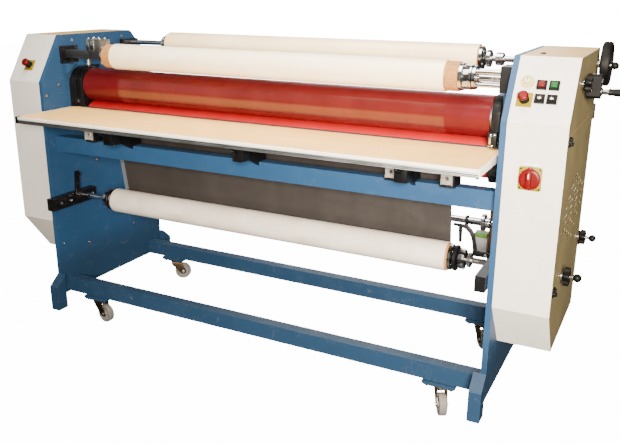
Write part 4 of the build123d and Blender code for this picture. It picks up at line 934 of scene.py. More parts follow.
piece("switch_handle", work, [RED, WHITE_EDGE], "main_switch", "switch_knob")

# %% [markdown]
# ## The table's edges
# The board is closed along the front by a white plastic lip over a grooved aluminium strip, and by a
# white strip at each end, with a black cap over the left corner. Such strips are extrusions, so each
# is one outline pushed along X. A thin steel sheet covers the tongue that carries the print to the
# nip.

# %% Sizes of the table
EDGE_LOW, EDGE_HIGH = box_mm("table_edging")
BOARD_LOW, BOARD_HIGH = box_mm("feed_table")
TABLE_TOP = EDGE_HIGH.z
SPLIT = TABLE_TOP - 11.2     # white lip above, aluminium below
TONGUE_HALF = 849.0          # half the steel sheet's width
front, back, under = EDGE_LOW.y, BOARD_LOW.y, EDGE_LOW.z
strip_end, cap_end = BOARD_HIGH.x, EDGE_LOW.x + 12
LIP_STEEL = finish("lip_steel", "4e5866", 0.38, metallic=0.6, cloud=0.08, grain=(8.0, 1600.0, 1600.0),
                   dust=0.03)
print("table top", round(TABLE_TOP, 1), "mm over the floor; front edge at", round(front, 1))

# %% Edge strips
work = bmesh.new()
lip = [(back, SPLIT), (back, TABLE_TOP), (front + 2, TABLE_TOP), (front + 0.8, TABLE_TOP - 0.7),
       (front, TABLE_TOP - 2), (front, SPLIT + 2.2), (front + 0.7, SPLIT + 0.8), (front + 2, SPLIT)]
section(work, cap_end, strip_end, lip, 0.2, 0)
strip = [(back, under), (back, SPLIT - 0.3), (front, SPLIT - 0.3)]
for z in (under + 8.6, under + 4.4):
    strip += [(front, z), (front + 1.2, z - 0.5), (front + 1.2, z - 1.5), (front, z - 2.0)]
section(work, cap_end, strip_end, strip + [(front, under)], 0.15, 1)
block(work, (strip_end, back, under), (EDGE_HIGH.x, EDGE_HIGH.y, TABLE_TOP), 1.0, 0)
block(work, (EDGE_LOW.x, back + 10, under), (-strip_end, EDGE_HIGH.y, TABLE_TOP), 1.0, 0)
block(work, (EDGE_LOW.x - 1, front, under - 0.8), (cap_end, back + 14, TABLE_TOP + 0.8), 1.4, 2)
block(work, (-TONGUE_HALF, EDGE_HIGH.y + 0.5, TABLE_TOP - 0.6),
      (TONGUE_HALF, BOARD_HIGH.y + 0.4, TABLE_TOP + 0.6), 0.3, 3)
piece("table_edge_strips", work, [WHITE_EDGE, ALLOY, MOULDED, LIP_STEEL], "frame",
      "table_edging")

# %% [markdown]
# ## Zinc shoes on the clamps
# Three clamps under the table grip the upper beam. Each wears a small zinc shoe on its foot: an open
# box of bent sheet, held by one screw. A black block sits on each of the arms between them, with the
# bolt that locks it pointing down.

# %% Clamp shoes
CLAMP_STEP = 22.0        # front of the clamp's foot
CLAMP_DROP = 36.0        # the clamp's nose reaches this far below the board
SHOE = 1.6               # sheet
SHOE_HALF = 17.5         # half its width
SHOE_ZINC = finish("shoe_zinc", "a39e95", 0.45, metallic=0.1, cloud=0.12, worn="bdb9b0", dust=0.12)
CLAMPS = (220.0 - HALF_SPAN, HALF_SPAN - 345, HALF_SPAN - 167)
beam_top = box_mm("table_brackets")[0].z + 12
low_z, high_z = beam_top + 9, under - CLAMP_DROP - 0.4
shoe_screw = eased([(0, 0), (6.4, 0), (6.4, 1.2), (4.6, 1.4), (4.6, 4.2), (0, 4.2)], 0.5)
work = bmesh.new()
for clamp_x in CLAMPS:
    left, right = clamp_x - SHOE_HALF, clamp_x + SHOE_HALF
    block(work, (left, CLAMP_STEP - SHOE, low_z), (right, CLAMP_STEP, high_z), 0.5, 0)
    block(work, (left, CLAMP_STEP - 9, high_z - SHOE), (right, CLAMP_STEP, high_z), 0.5, 0)
    for x in (left, right - SHOE):
        block(work, (x, CLAMP_STEP - 9, low_z), (x + SHOE, CLAMP_STEP, high_z), 0.4, 0)
    spun(work, forward(clamp_x, CLAMP_STEP - SHOE + 0.3, (low_z + high_z) / 2), shoe_screw, 1, 24)
piece("table_clamp_shoes", work, [SHOE_ZINC, STEEL], "frame")

# %% Arm blocks
ARMS = (406.0 - HALF_SPAN, 59.0, HALF_SPAN - 278)
BLOCK_FOOT = under - 60.0
work = bmesh.new()
for arm_x in ARMS:
    block(work, (arm_x - 20, -84, BLOCK_FOOT), (arm_x + 20, -36, under - 0.2), 1.8, 0)
    place = turned_to(at(arm_x + 4, -60, BLOCK_FOOT + 0.4), (1, 0, 0), (0, 0, -1))
    rod(work, place, 7, 5, 0.9, 1, 6)
piece("table_arm_blocks", work, [BLACK, STEEL], "frame")

# %% [markdown]
# ## Chucks and spindles
# A film roll is held by a chuck pushed into each end of its cardboard core. The chuck has jaws that
# grip the core, a flange and a few locking rings, all plated, on one long spindle. Turned parts like
# these are profiles spun round the spindle, with the jaws and grub screws set round it. Their places
# come from the ends of the cardboard cores.

# %% One chuck
SPINDLE_R = 10.0
GRUB = [(0, 0), (2.8, 0), (2.8, 1.4), (1.5, 1.9), (1.5, 1.3), (0, 1.3)]
JAW_SCREW = [(0, 0), (4.2, 0), (4.2, 2.2), (2.2, 2.6), (2.2, 1.2), (0, 1.2)]
FLANGE = [(SPINDLE_R, -44), (37.9, -44), (37.9, -0.05), (41.8, -0.05), (41.8, 11.6), (30, 11.9),
          (SPINDLE_R, 11.9)]


def locking_ring(work, place, length, radius, style):
    """One ring on the spindle; its style is jaws, knurl, plain or black."""
    if style == "jaws":
        sleeve(work, place, (SPINDLE_R, radius - 7), length, 0, 1, 36)
        for turn in around(place, 6):
            bar(work, moved(turn, radius - 5.5, 0, 0.2), rounded(9, 17, 1.2), length - 0.4, 0.8, 0)
    elif style == "knurl":
        sleeve(work, place, (SPINDLE_R, radius - 1), length, 1.0, 0, 48)
        for turn in around(place, 30):
            bar(work, moved(turn, radius - 1.2, 0, 1.6), rounded(2.0, 3.0), length - 3.2, 0, 0)
    else:
        sleeve(work, place, (SPINDLE_R, radius), length, 1.4, 1 if style == "black" else 0, 48)
        if length >= 8:
            middle = turned(moved(place, 0, 0, length / 2), pi / 2, "X")
            spun(work, moved(middle, 0, 0, radius - 1.2), GRUB, 0, 14)


def chuck(work, x, way, axis, rings):
    """One chuck: x is the core's end, way is 1 to the right. rings: start, length, radius, style."""
    place = turned_to(at(x, *axis), (0, 0, 1), (way, 0, 0))
    spun(work, place, eased(FLANGE, 1.2), 0, 48, tube=True)
    for turn in around(place, 3, 0.4):
        bar(work, moved(turn, 0, 35.5, 11.7), rounded(9, 7, 1.5), 2.2, 0.5, 1)
        spun(work, moved(turn, 24, 0, 11.7), JAW_SCREW, 0, 18)
    for start, length, radius, style in rings:
        locking_ring(work, moved(place, 0, 0, start), length, radius, style)


def ends_of(node):
    """X in millimetres of both ends of a CAD node."""
    return tuple(corner.x for corner in box_mm(node))


# %% Chucks of each roll
RINGS = {
    "front": ([], [(12, 20, 38, "jaws"), (32.2, 7.6, 38, "plain")]),
    "rear": ([(12, 8, 24, "black"), (24, 10, 30, "plain")],
             [(12, 8, 24, "black"), (24, 14, 30, "knurl"), (55, 26, 22, "plain")]),
    "lower": ([(18.2, 7.6, 42, "black"), (33, 16, 36, "jaws")],
              [(18, 10, 42, "black"), (34, 18, 34, "jaws"), (60, 12, 24, "knurl")]),
}
for roll, (left_rings, right_rings) in RINGS.items():
    left, right = ends_of(roll + "_core")
    spindle_from, spindle_to = ends_of(roll + "_hubs")
    work = bmesh.new()
    chuck(work, left, -1, AXIS[roll], left_rings)
    chuck(work, right, 1, AXIS[roll], right_rings)
    rod(work, along_x(spindle_from, AXIS[roll]), SPINDLE_R, spindle_to - spindle_from, 1.0, 0, 32)
    piece(roll + "_chucks", work, [CHROME, BLACK], roll + "_roll", roll + "_hubs")

# %% [markdown]
# ## What carries the spindles
# The front spindle slides in from the right, through a cage of four bright rods on a black block. Its
# left end rests in a zinc clamp box on a dark rail. Blocks low on the plates carry the take-up shaft,
# and a small brake drum on each spindle hides inside the right cover.

# %% Spindle fittings
GUNMETAL = finish("gunmetal", "4d5054", 0.34, metallic=0.9, cloud=0.14, grain=(14.0, 700.0, 700.0),
                  worn="a8a9a8", dust=0.12)
TAKEUP = centre_of("takeup_shaft")
INNER = HALF_SPAN - 18
CORE_LEFT, CORE_RIGHT = ends_of("front_core")
clamp_end = CORE_LEFT - 13
y, z = AXIS["front"]

RAIL_TOP = 17.0          # above the front spindle
RAIL_FOOT = -13.0
work = bmesh.new()
low, high, slot = z + RAIL_FOOT, z + RAIL_TOP, z + RAIL_TOP - 2.5
rail = [(y - 30, low), (y - 30, high), (y - 19, high), (y - 19, slot), (y - 11, slot), (y - 11, high),
        (y + 3, high), (y + 3, slot), (y + 11, slot), (y + 11, high), (y + 22, high), (y + 22, low)]
section(work, -INNER + 8, clamp_end - 62, rail, 0.5, 0)
for y0, y1 in ((y - 30, y - 11), (y + 11, y + 22)):
    section(work, clamp_end - 62, clamp_end, [(y0, low), (y0, high), (y1, high), (y1, low)], 0.6, 0)
for x0, x1, top_z, coat in ((clamp_end - 79, clamp_end - 62, 63, 3), (clamp_end - 61, clamp_end - 33, 62, 1),
                            (clamp_end - 32, clamp_end, 62, 1)):
    block(work, (x0, y - 26, high), (x1, y + 26, z + top_z), 1.6, coat)
block(work, (clamp_end - 58, y - 27.6, z + 22), (clamp_end - 36, y - 26, z + 58), 0.5, 3)
clamp_screw = eased([(0, 0), (4.6, 0), (4.6, 5.6), (2.6, 5.6), (2.6, 3.2), (0, 3.2)], 0.6)
for x in (clamp_end - 70, clamp_end - 47, clamp_end - 16):
    for dy in (-15, 15):
        spun(work, standing(x, y + dy, z + 62), clamp_screw, 3, 22)

# the cage of rods at the other end
cage = CORE_RIGHT + 41
rod_end = [(0, 0), (4.4, 0), (5, 0.6), (5, 3), (0, 3)]
sleeve(work, along_x(cage, AXIS["front"]), (10.2, 36), 10, 1.2, 3, 48)
for turn in range(4):
    bearing = radians(45 + 90 * turn)
    rod_axis = (y + 27 * cos(bearing), z + 27 * sin(bearing))
    rod(work, along_x(cage + 10, rod_axis), 6.5, INNER - 37 - cage - 10, 0, 3, 24)
    spun(work, along_x(cage - 3, rod_axis), rod_end, 2, 18)

# blocks of the take-up shaft, and the brake drums
take_y, take_z = TAKEUP
block(work, (INNER - 36, take_y - 40, take_z - 90), (INNER, take_y + 40, take_z + 30), 1.8, 1)
block(work, (-INNER, take_y - 30, take_z - 30), (-INNER + 20, take_y + 30, take_z + 30), 1.8, 1)
drum = [(6.1, 138), (6.1, 150), (24, 150), (26, 148), (26, 96), (24.6, 94), (24.6, 88), (26, 86), (26, 0.1),
        (20, 0.1), (20, 138)]
for axis in (AXIS["front"], AXIS["rear"], AXIS["lower"], TAKEUP):
    spun(work, along_x(HALF_SPAN, axis), drum, 1, 40, tube=True)
piece("spindle_carriers", work, [GUNMETAL, ZINC, STEEL, CHROME], "frame", "spindle_fittings")

# %% Bearing rings of the lower roller
ring_bolt = [(0, 0), (2.3, 0), (2.3, 1.6), (1.2, 2.0), (1.2, 1.0), (0, 1.0)]
ring = eased([(17.6, 0), (30, 0), (30, 5), (24, 7), (17.6, 7)], 0.8)
work = bmesh.new()
for side in (-1, 1):
    place = turned_to(at(side * (INNER - 32), *AXIS["bottom"]), (0, 0, 1), (-side, 0, 0))
    spun(work, place, ring, 0, 40, tube=True)
    for turn in around(place, 4, pi / 4):
        spun(work, moved(turn, 26.4, 0, 4.4), ring_bolt, 1, 14)
piece("bearing_rings", work, [ZINC, STEEL], "frame")

# %% [markdown]
# ## Casters
# A caster is a pressed zinc fork that swivels on a ball race under a red dust ring, and a wheel with
# a grey tyre on a dished hub. The fork and the wheel are separate bodies, because one swivels and the
# other rolls. Each caster is turned its own way, as it was left when the machine was last moved.

# %% Outlines of fork and wheel
HEADING = {"fl": -8.0, "fr": -62.0, "rl": 40.0, "rr": -50.0}     # degrees
TRAIL = 30.0             # wheel's axle behind the swivel
WHEEL_RADIUS = 38.0
RACE_Z = 90.0            # underside of the ball race
HUB = finish("wheel_hub", "6f6f6c", 0.5, cloud=0.1, peel=0.6, worn="9a9a95", dust=0.25)

race = eased([(9.2, RACE_Z), (27, RACE_Z), (29, RACE_Z + 1.5), (29, RACE_Z + 4), (24.6, RACE_Z + 5),
              (24.6, RACE_Z + 7.4), (9.2, RACE_Z + 7.4)], 0.8)
seal = [(24.7, RACE_Z + 5.1), (27.6, RACE_Z + 5.1), (28.2, RACE_Z + 6.2), (27.4, RACE_Z + 7.6),
        (24.7, RACE_Z + 7.6)]
cheek = [(-25, RACE_Z - 0.5), (-25, 80), (-18, 70), (-4, 56), (10, 36), (17, 29), (24, 26.2), (30, 25.5),
         (36, 26.6), (41, 31), (42.5, 38), (40, 46), (33, 60), (29, 72), (28, RACE_Z - 0.5)]
hexagon = [(7.2 * cos(i * pi / 3), 7.2 * sin(i * pi / 3)) for i in range(6)]
king_pin = [(0, 0), (6.5, 0), (8, 1.2), (8, 4), (0, 4)]


def both_ways(half):
    """A (radius, height) profile, and its mirror image going back."""
    return half + [(radius, -height) for radius, height in reversed(half)]


tyre = both_ways([(28.6, -11.6), (32, -12.8), (35, -12.8), (37.2, -10.8), (38, -8), (38, -1.2),
                  (37.5, -0.6)])
hub = both_ways([(5.2, -14.6), (9, -14.6), (10, -13.6), (10, -8), (13, -5), (24, -4.6), (27, -10),
                 (28.7, -11)])
print("tyre", len(tyre), "points, hub", len(hub), "points")

# %% Forks and wheels
for corner, heading in HEADING.items():
    pivot = measured(JOINT[f"caster_{corner}_swivel"]["pos_m"])
    turn = radians(heading)
    place = turned_to(at(pivot.x, pivot.y, 0), (cos(turn), sin(turn), 0), (0, 0, 1))
    work = bmesh.new()
    spun(work, place, race, 0, 44, tube=True)
    spun(work, place, seal, 1, 44, tube=True)
    bar(work, moved(place, 2, 0, RACE_Z - 3), rounded(54, 36, 6), 3.0, 0.8, 0)
    for side in (18, -15):
        bar(work, turned(moved(place, 0, side, 0), pi / 2, "X"), cheek, 3.0, 0.7, 0)
    axle = turned(moved(place, TRAIL, 22, WHEEL_RADIUS), pi / 2, "X")
    rod(work, axle, 4.9, 44, 0, 2, 24)
    for shift in (0.4, 39.6):
        bar(work, moved(axle, 0, 0, shift), hexagon, 3.6, 0.6, 2)
    spun(work, moved(place, 0, 0, RACE_Z - 7), king_pin, 2, 24)
    piece("caster_yoke_" + corner, work, [CASTER_ZINC, RED_SEAL, STEEL], "swivel_" + corner,
          "caster_fork_" + corner)

    work = bmesh.new()
    roll = turned(moved(place, TRAIL, 0, WHEEL_RADIUS), pi / 2, "X")
    spun(work, roll, tyre, 0, 56, tube=True)
    spun(work, roll, hub, 1, 48, tube=True)
    for turn in around(roll, 6):
        bar(work, moved(turn, 18, 0, -8.4), rounded(17, 2.6), 16.8, 0.5, 1)
    piece("caster_roll_" + corner, work, [TYRE, HUB], "wheel_" + corner,
          "caster_wheel_" + corner, 38)

# %% [markdown]
# ## Hand controls at the right end
# A dished handwheel sets the rear brake, three star knobs set the others, and a crank with a turned
# grip lifts the upper roller. All are black mouldings on plated stems. Rims, balls and grips are spun
# profiles. A star knob is an outline with five lobes, given a thickness and well rounded edges.

# %% Balls and stems
PANEL_FACE = box_mm("vent_panel")[1].x - 1.5       # outer face of the right end
BALL = 12.0


def ball(radius, middle, steps=12):
    """Profile of a ball round a height on its axis."""
    angles = [pi * (1 - i / steps) for i in range(steps + 1)]
    return [(radius * sin(a), middle + radius * cos(a)) for a in angles]


def stem(work, axis, reach, collar_r, collar):
    """Plated stem out of the panel; collar gives where its collar starts and ends."""
    start, end = collar
    rod(work, along_x(PANEL_FACE - 21.5, axis), 5.95, 21.5 + reach, 0, 1, 28)
    sleeve(work, along_x(PANEL_FACE + start, axis), (5.9, collar_r), end - start, 0.9, 1, 36)


print("right end's face at", round(PANEL_FACE, 1), "mm")

# %% Handwheel
work = bmesh.new()
axis = AXIS["rear"]
place = along_x(PANEL_FACE + 12, axis)
rim = [(57.6, 10), (58.4, 5), (61, 1.8), (64.5, 0.2), (68, 1.6), (69.8, 5.6), (70, 10), (70, 21),
       (69.4, 25.6), (67.4, 28.8), (64.2, 30), (61, 28.6), (58.6, 25), (57.6, 20)]
boss = [(0, -1), (13.5, -1), (15, 1), (18, 8), (18, 24), (16, 26.4), (0, 26.6)]
dish = [(17, 9), (30, 11), (45, 13.4), (59, 14), (59, 9.6), (45, 8.8), (30, 7), (17, 6)]
spun(work, place, rim, 0, 72, tube=True)
spun(work, place, boss, 0, 44)
spun(work, place, dish, 0, 60, tube=True)
for turn in around(place, 5):
    bar(work, moved(turn, 38, 0, 10), rounded(43, 9, 3), 9.5, 2.0, 0, 3)
stem(work, axis, 12, 14, (1, 11.4))
knob_axis = (axis[0] - 56, axis[1])
rod(work, along_x(PANEL_FACE + 21, knob_axis), 5, 28, 0, 1, 26)
sleeve(work, along_x(PANEL_FACE + 33, knob_axis), (5, 8), 4, 0.6, 0, 26)
spun(work, along_x(0, knob_axis), ball(BALL, PANEL_FACE + 58), 0, 36)
piece("brake_handwheel", work, [MOULDED, CHROME], "rear_brake_wheel", "handwheel")

# %% Star knobs
def star(radius, lobes=5, points=60):
    """Outline of a knob with rounded lobes."""
    out = []
    for i in range(points):
        angle = i * 2 * pi / points
        reach = radius * (0.87 + 0.13 * cos(lobes * angle))
        out.append((reach * cos(angle), reach * sin(angle)))
    return out


STARS = {"front": ("front_brake_knob", "tension_knob_top", AXIS["front"], 24, 0),
         "lower": ("lower_brake_knob", "tension_knob_lower", AXIS["lower"], 30, 13),
         "takeup": ("takeup_brake_knob", "tension_knob_takeup", TAKEUP, 26, 12)}
skirt = eased([(5.9, 0), (11, 0), (13, 4.4), (5.9, 4.4)], 0.5)
ball_pin = [(0, 0), (9, 0), (9, 2), (5, 3.4), (5, 18), (0, 18)]
end_cap = [(0, 0), (9, 0), (8, 1.2), (0, 1.5)]
for name, (body, cad_node, axis, radius, ball_r) in STARS.items():
    work = bmesh.new()
    stem(work, axis, 14, 13, (1, 8))
    bar(work, along_x(PANEL_FACE + 12, axis), star(radius), 16.0, 3.2, 0, 3)
    spun(work, along_x(PANEL_FACE + 8, axis), skirt, 0, 36, tube=True)
    if ball_r:
        spun(work, along_x(PANEL_FACE + 27, axis), ball_pin, 1, 28)
        spun(work, along_x(0, axis), ball(ball_r, PANEL_FACE + 50), 0, 36)
    else:
        spun(work, along_x(PANEL_FACE + 27.6, axis), end_cap, 1, 28)
    piece(name + "_star_knob", work, [MOULDED, CHROME], body, cad_node)

# %% Lift crank
LIFT = centre_of("lift_shaft")
GRIP_END = ends_of("lift_crank")[1]
work = bmesh.new()
x0 = PANEL_FACE + 8      # inner face of the crank's arm
arm = rounded(40, 70, 9, LIFT[0], LIFT[1] - 15, 5)
bar(work, turned_to(at(x0, 0, 0), (0, 1, 0), (1, 0, 0)), arm, 37.8, 2.4, 0, 3)
sleeve(work, along_x(x0 - 6.6, LIFT), (8.3, 15), 6.8, 1.2, 1, 36)
shaft_cap = [(0, 0), (11, 0), (11, 2.4), (6, 2.4), (5, 4), (0, 4)]
spun(work, along_x(x0 + 37.6, LIFT), eased(shaft_cap, 0.8), 1, 32)
pin_axis = (LIFT[0], LIFT[1] - 30)
grip_pin = [(0, 0), (11, 0), (11, 4), (7.9, 5), (7.9, 20.8), (0, 20.8)]
spun(work, along_x(x0 + 37.5, pin_axis), eased(grip_pin, 0.6), 1, 32)
length = GRIP_END - (x0 + 58)
grip = [(0, 0), (9, 0), (10.4, 1.6), (10.8, 5), (9.6, 8), (9.8, 12), (11.2, 24), (12, 40), (11.8, 54),
        (10.6, 66), (9.8, 72), (11.2, 75), (11.6, 79), (10.6, length - 2), (8, length), (0, length)]
spun(work, along_x(x0 + 58, pin_axis), grip, 0, 40)
arm_screw = [(0, 0), (2.6, 0), (2.6, 0.9), (1.4, 1.1), (1.4, 0.6), (0, 0.6)]
top_of_arm = standing(x0 + 19, LIFT[0], LIFT[1] + 20)
for angle in (0.6, 2.2, 3.9, 5.3):
    spun(work, moved(top_of_arm, 10 * cos(angle), 10 * sin(angle), -0.4), arm_screw, 1, 14)
piece("crank_handle", work, [MOULDED, CHROME], "lift_drive", "lift_crank")

# %% [markdown]
# ## Fasteners
# The machine shows some sixty screws, and they differ only in place, facing and size. Geometry
# Nodes suits that: one tree makes a socket head over a washer, turns a copy to each point's facing
# with a random turn of its socket, and gives it its finish. The points for the inside screws are
# read from the CAD screws; the others are the fitter's numbers.

# %% The screw tree
screw_tree = bpy.data.node_groups.new("Socket screws", "GeometryNodeTree")
shape = screw_tree.interface
HEAD_SIDES = 24
SIZES = {"Head Radius": 0.005, "Head Height": 0.0024, "Socket Radius": 0.0024,
         "Washer Radius": 0.0066, "Washer Height": 0.0008}


def asks(label, kind, value=None, way="INPUT"):
    """Adds a named socket to the screw tree."""
    socket = shape.new_socket(label, in_out=way, socket_type="NodeSocket" + kind)
    if value is not None:
        socket.default_value = value


def geo(kind, sockets=None, **settings):
    """New node of the screw tree."""
    return node(screw_tree, "GeometryNode" + kind, sockets, **settings)


def scaled(value, factor):
    """Output of a length times a factor."""
    return times(screw_tree, value, factor)


def lifted(mesh, height):
    """Output of a mesh moved up by a height."""
    up = put(screw_tree, "CombineXYZ", {2: height}).outputs[0]
    return geo("Transform", {"Geometry": mesh, "Translation": up}).outputs[0]


asks("Points", "Geometry")
for label, value in SIZES.items():
    asks(label, "Float", value)
asks("Seed", "Int", 7)
asks("Finish", "Material")
asks("Screws", "Geometry", way="OUTPUT")
asked = screw_tree.nodes.new("NodeGroupInput").outputs
print("screw tree asks for", [item.name for item in shape.items_tree])

# %% Head and washer
head_r, head_h, washer_h = asked["Head Radius"], asked["Head Height"], asked["Washer Height"]
head = geo("MeshCone", {"Vertices": HEAD_SIDES, "Radius Bottom": head_r, "Radius Top": scaled(head_r, 0.86),
                        "Depth": head_h})
recess = geo("MeshCylinder", {"Vertices": 6, "Radius": asked["Socket Radius"], "Depth": head_h})
cut = geo("MeshBoolean", {"Mesh 1": head.outputs["Mesh"]}, operation="DIFFERENCE", solver="EXACT")
screw_tree.links.new(lifted(recess.outputs["Mesh"], scaled(head_h, 0.9)), cut.inputs["Mesh 2"])
washer = geo("MeshCylinder", {"Vertices": HEAD_SIDES, "Radius": asked["Washer Radius"], "Depth": washer_h})
both = geo("JoinGeometry")
for shown in (lifted(cut.outputs["Mesh"], washer_h), lifted(washer.outputs["Mesh"], scaled(washer_h, 0.5))):
    screw_tree.links.new(shown, both.inputs[0])

# %% A copy at every point
aim = geo("InputNamedAttribute", {"Name": "facing"}, data_type="FLOAT_VECTOR").outputs["Attribute"]
random_turn = {"Seed": asked["Seed"], 2: 0.0, 3: pi / 3}
turn = node(screw_tree, "FunctionNodeRandomValue", random_turn, data_type="FLOAT").outputs[1]
spin = node(screw_tree, "FunctionNodeAxisAngleToRotation", {"Axis": (0, 0, 1), "Angle": turn}).outputs[0]
aimed = node(screw_tree, "FunctionNodeAlignRotationToVector", {"Rotation": spin, "Vector": aim}, axis="Z")
copies = geo("InstanceOnPoints", {"Points": asked["Points"], "Instance": both.outputs[0],
                                  "Rotation": aimed.outputs[0]})
real = geo("RealizeInstances", {0: copies.outputs[0]})
coated = geo("SetMaterial", {"Geometry": real.outputs[0], "Material": asked["Finish"]})
screw_tree.links.new(coated.outputs[0], screw_tree.nodes.new("NodeGroupOutput").inputs[0])
SCREW_SOCKET = {item.name: item.identifier for item in shape.items_tree if item.in_out == "INPUT"}
print("screw tree:", len(screw_tree.nodes), "nodes, inputs", list(SCREW_SOCKET))


# %% Bake screws at points
def screws(name, spots, body, coat, record_slot, stands_for=(), **sizes):
    """Sets a screw at every (point, facing) and bakes one mesh."""
    points = bpy.data.meshes.new(name + "_points")
    points.from_pydata([tuple(spot) for spot, _ in spots], [], [])
    ways = points.attributes.new("facing", "FLOAT_VECTOR", "POINT")
    ways.data.foreach_set("vector", [c for _, way in spots for c in way])
    holder = new_object(name + "_points", points)
    maker = holder.modifiers.new("screws", "NODES")
    maker.node_group = screw_tree
    maker[SCREW_SOCKET["Finish"]] = coat
    for label, value in sizes.items():
        maker[SCREW_SOCKET[label.replace("_", " ")]] = value
    seen = holder.evaluated_get(bpy.context.evaluated_depsgraph_get())
    mesh = bpy.data.meshes.new_from_object(seen)
    mesh.name = name
    holder.modifiers.remove(maker)
    bpy.data.objects.remove(holder)
    bpy.data.meshes.remove(points)
    hand_over(name, mesh, body, stands_for)
    print(f"{name}: {len(spots)} screws, {len(mesh.polygons)} faces")


# %% Screws inside the plates
def islands(name):
    """(Lowest, highest) corner of every loose part of a CAD node."""
    work = bmesh.new()
    work.from_mesh(frame["nodes"][name].data)
    bmesh.ops.remove_doubles(work, verts=work.verts, dist=1e-6)
    left, out = set(work.verts), []
    while left:
        wave = [left.pop()]
        island = list(wave)
        while wave:
            near = {edge.other_vert(v) for v in wave for edge in v.link_edges} & left
            left -= near
            wave = list(near)
            island += wave
        low, high = (Vector([pick(v.co[i] for v in island) for i in range(3)]) for pick in (min, max))
        out.append((low, high))
    work.free()
    return sorted(out, key=lambda corners: tuple(round(c, 4) for c in corners[0]))


inside = []
for low, high in islands("screws"):
    middle = (low + high) / 2
    way = 1 if middle.x < DATUM.x else -1
    seat = low.x if way > 0 else high.x
    inside.append((Vector((seat, middle.y, middle.z)), (way, 0, 0)))
screws("frame_screws", inside, "frame", STEEL, "screw_steel", "screws")

# %% Screws on the covers and under the machine
COVER_EDGE = 14.0        # cover screws sit this far from the cover's edges
BACK = 540.0             # the covers' back
RIGHT_FACE = HALF_SPAN + 166
PLATE = 0.004            # thickness of a caster's plate, in metres
HOLE_X, HOLE_Y = 0.041, 0.025    # its screws, from its middle, in metres

outside = []
for x0, x1 in ((HALF_SPAN, RIGHT_FACE), (-HALF_SPAN - 160, -HALF_SPAN)):
    for x in (x0 + COVER_EDGE, x1 - COVER_EDGE):
        outside += [(at(x, BACK, z), (0, 1, 0)) for z in (560, 760, 900)]
screws("cover_screws", outside, "frame", BLACK, "screw_steel",
       Head_Radius=0.0042, Washer_Radius=0.0055, Socket_Radius=0.0019, Seed=11)

below = []
for low, high in islands("caster_plates"):
    x, y, _ = (low + high) / 2
    below += [(Vector((x + sx * HOLE_X, y + sy * HOLE_Y, high.z - PLATE)), (0, 0, -1))
              for sx in (-1, 1) for sy in (-1, 1)]
screws("caster_screws", below, "frame", STEEL, "screw_steel",
       Head_Radius=0.0055, Head_Height=0.0045, Washer_Radius=0.0075, Socket_Radius=0.0026, Seed=3)

# %% [markdown]
# ## Guards at the rollers' ends
# A black guard closes the gap between each roller's end and its bearing housing, so a sleeve or a
# print's corner can't be drawn in. It has a slot for the two journals, tall enough for the upper one
# to rise. At the drive end it carries a small guide box with a bright strip.

# %% Roller guards
ROLLER_Y, TOP_AXIS = AXIS["top"]
BOTTOM_AXIS = AXIS["bottom"][1]
GUARD_IN = ends_of("top_shaft")[1] + 2.6
GUARD_OUT = ends_of("roller_end_plates")[1] - 32.4
SLOT = 19.5              # half the width of the slot for the journals
LIFT_ROOM = 34.0         # above the upper journal's axis
FRONT_REACH = {-1: 61.0, 1: 78.0}    # the drive end's guard stands further out
back_y = ROLLER_Y + 72
slot_y = (ROLLER_Y - SLOT, ROLLER_Y + SLOT)
low_z, high_z = BOTTOM_AXIS - 66, TOP_AXIS + 70

work = bmesh.new()
for side in (-1, 1):
    x0, x1 = sorted((side * GUARD_IN, side * GUARD_OUT))
    front_y = ROLLER_Y - FRONT_REACH[side]
    before = [(slot_y[0], low_z), (front_y + 22, low_z), (front_y, low_z + 26), (front_y, high_z - 46),
              (front_y + 10, high_z - 26), (front_y + 26, high_z - 9), (front_y + 48, high_z),
              (slot_y[0], high_z)]
    behind = [(slot_y[1], low_z), (slot_y[1], high_z), (back_y - 44, high_z), (back_y - 20, high_z - 12),
              (back_y - 4, high_z - 36), (back_y, high_z - 56), (back_y, low_z + 26), (back_y - 22, low_z)]
    section(work, x0, x1, before, 1.4, 0)
    section(work, x0, x1, behind, 1.4, 0)
    for z0, z1 in ((TOP_AXIS + LIFT_ROOM, high_z), (low_z, BOTTOM_AXIS - 20)):
        section(work, x0, x1, [(slot_y[0], z0), (slot_y[1], z0), (slot_y[1], z1), (slot_y[0], z1)], 0.6, 0)

# the guide box stands on the front of the drive end's guard
x0, x1 = GUARD_IN - 2, GUARD_OUT - 1
guide_z = TABLE_TOP + 8
block(work, (x0, front_y - 22, guide_z), (x1, front_y + 0.5, guide_z + 44), 1.6, 0)
block(work, (x0 + 5, front_y - 24, guide_z + 9), (x0 + 11, front_y - 21.6, guide_z + 40), 0.5, 1)
block(work, (x0 + 3, front_y - 26, guide_z + 1), (x0 + 17, front_y - 21.6, guide_z + 7), 0.5, 1)
guide_screw = [(0, -0.4), (2.6, -0.4), (2.6, 1.2), (1.4, 1.6), (0, 1.6)]
spun(work, forward(x0 + 19, front_y - 22, guide_z + 37), guide_screw, 1, 16)
piece("roller_end_guards", work, [BLACK, CHROME], "frame")

# %% [markdown]
# ## Catches, cable gland and the cover's top
# Four moulded catches hold the side panel: each is a base, a lever hooked over it and two rivets. The
# gland under the cover is a hexagon nut on a threaded collar. A small oval grommet sits on the drive
# cover's top; a ray shot down at the CAD cover finds the height it sits at.

# %% Catches and gland
def catch(work, place, base, lever, hook, head, rivets):
    """A catch: base, lever and hook are (outline, height, ease, Y, Z); rivets are (X, Y) places."""
    for (outline, height, ease, y, z), steps in ((base, 2), (lever, 3), (hook, 3)):
        bar(work, moved(place, 0, y, z), outline, height, ease, 0, steps)
    for x, y in rivets:
        spun(work, moved(place, x, y, base[1] - 0.2), head, 1, 16)


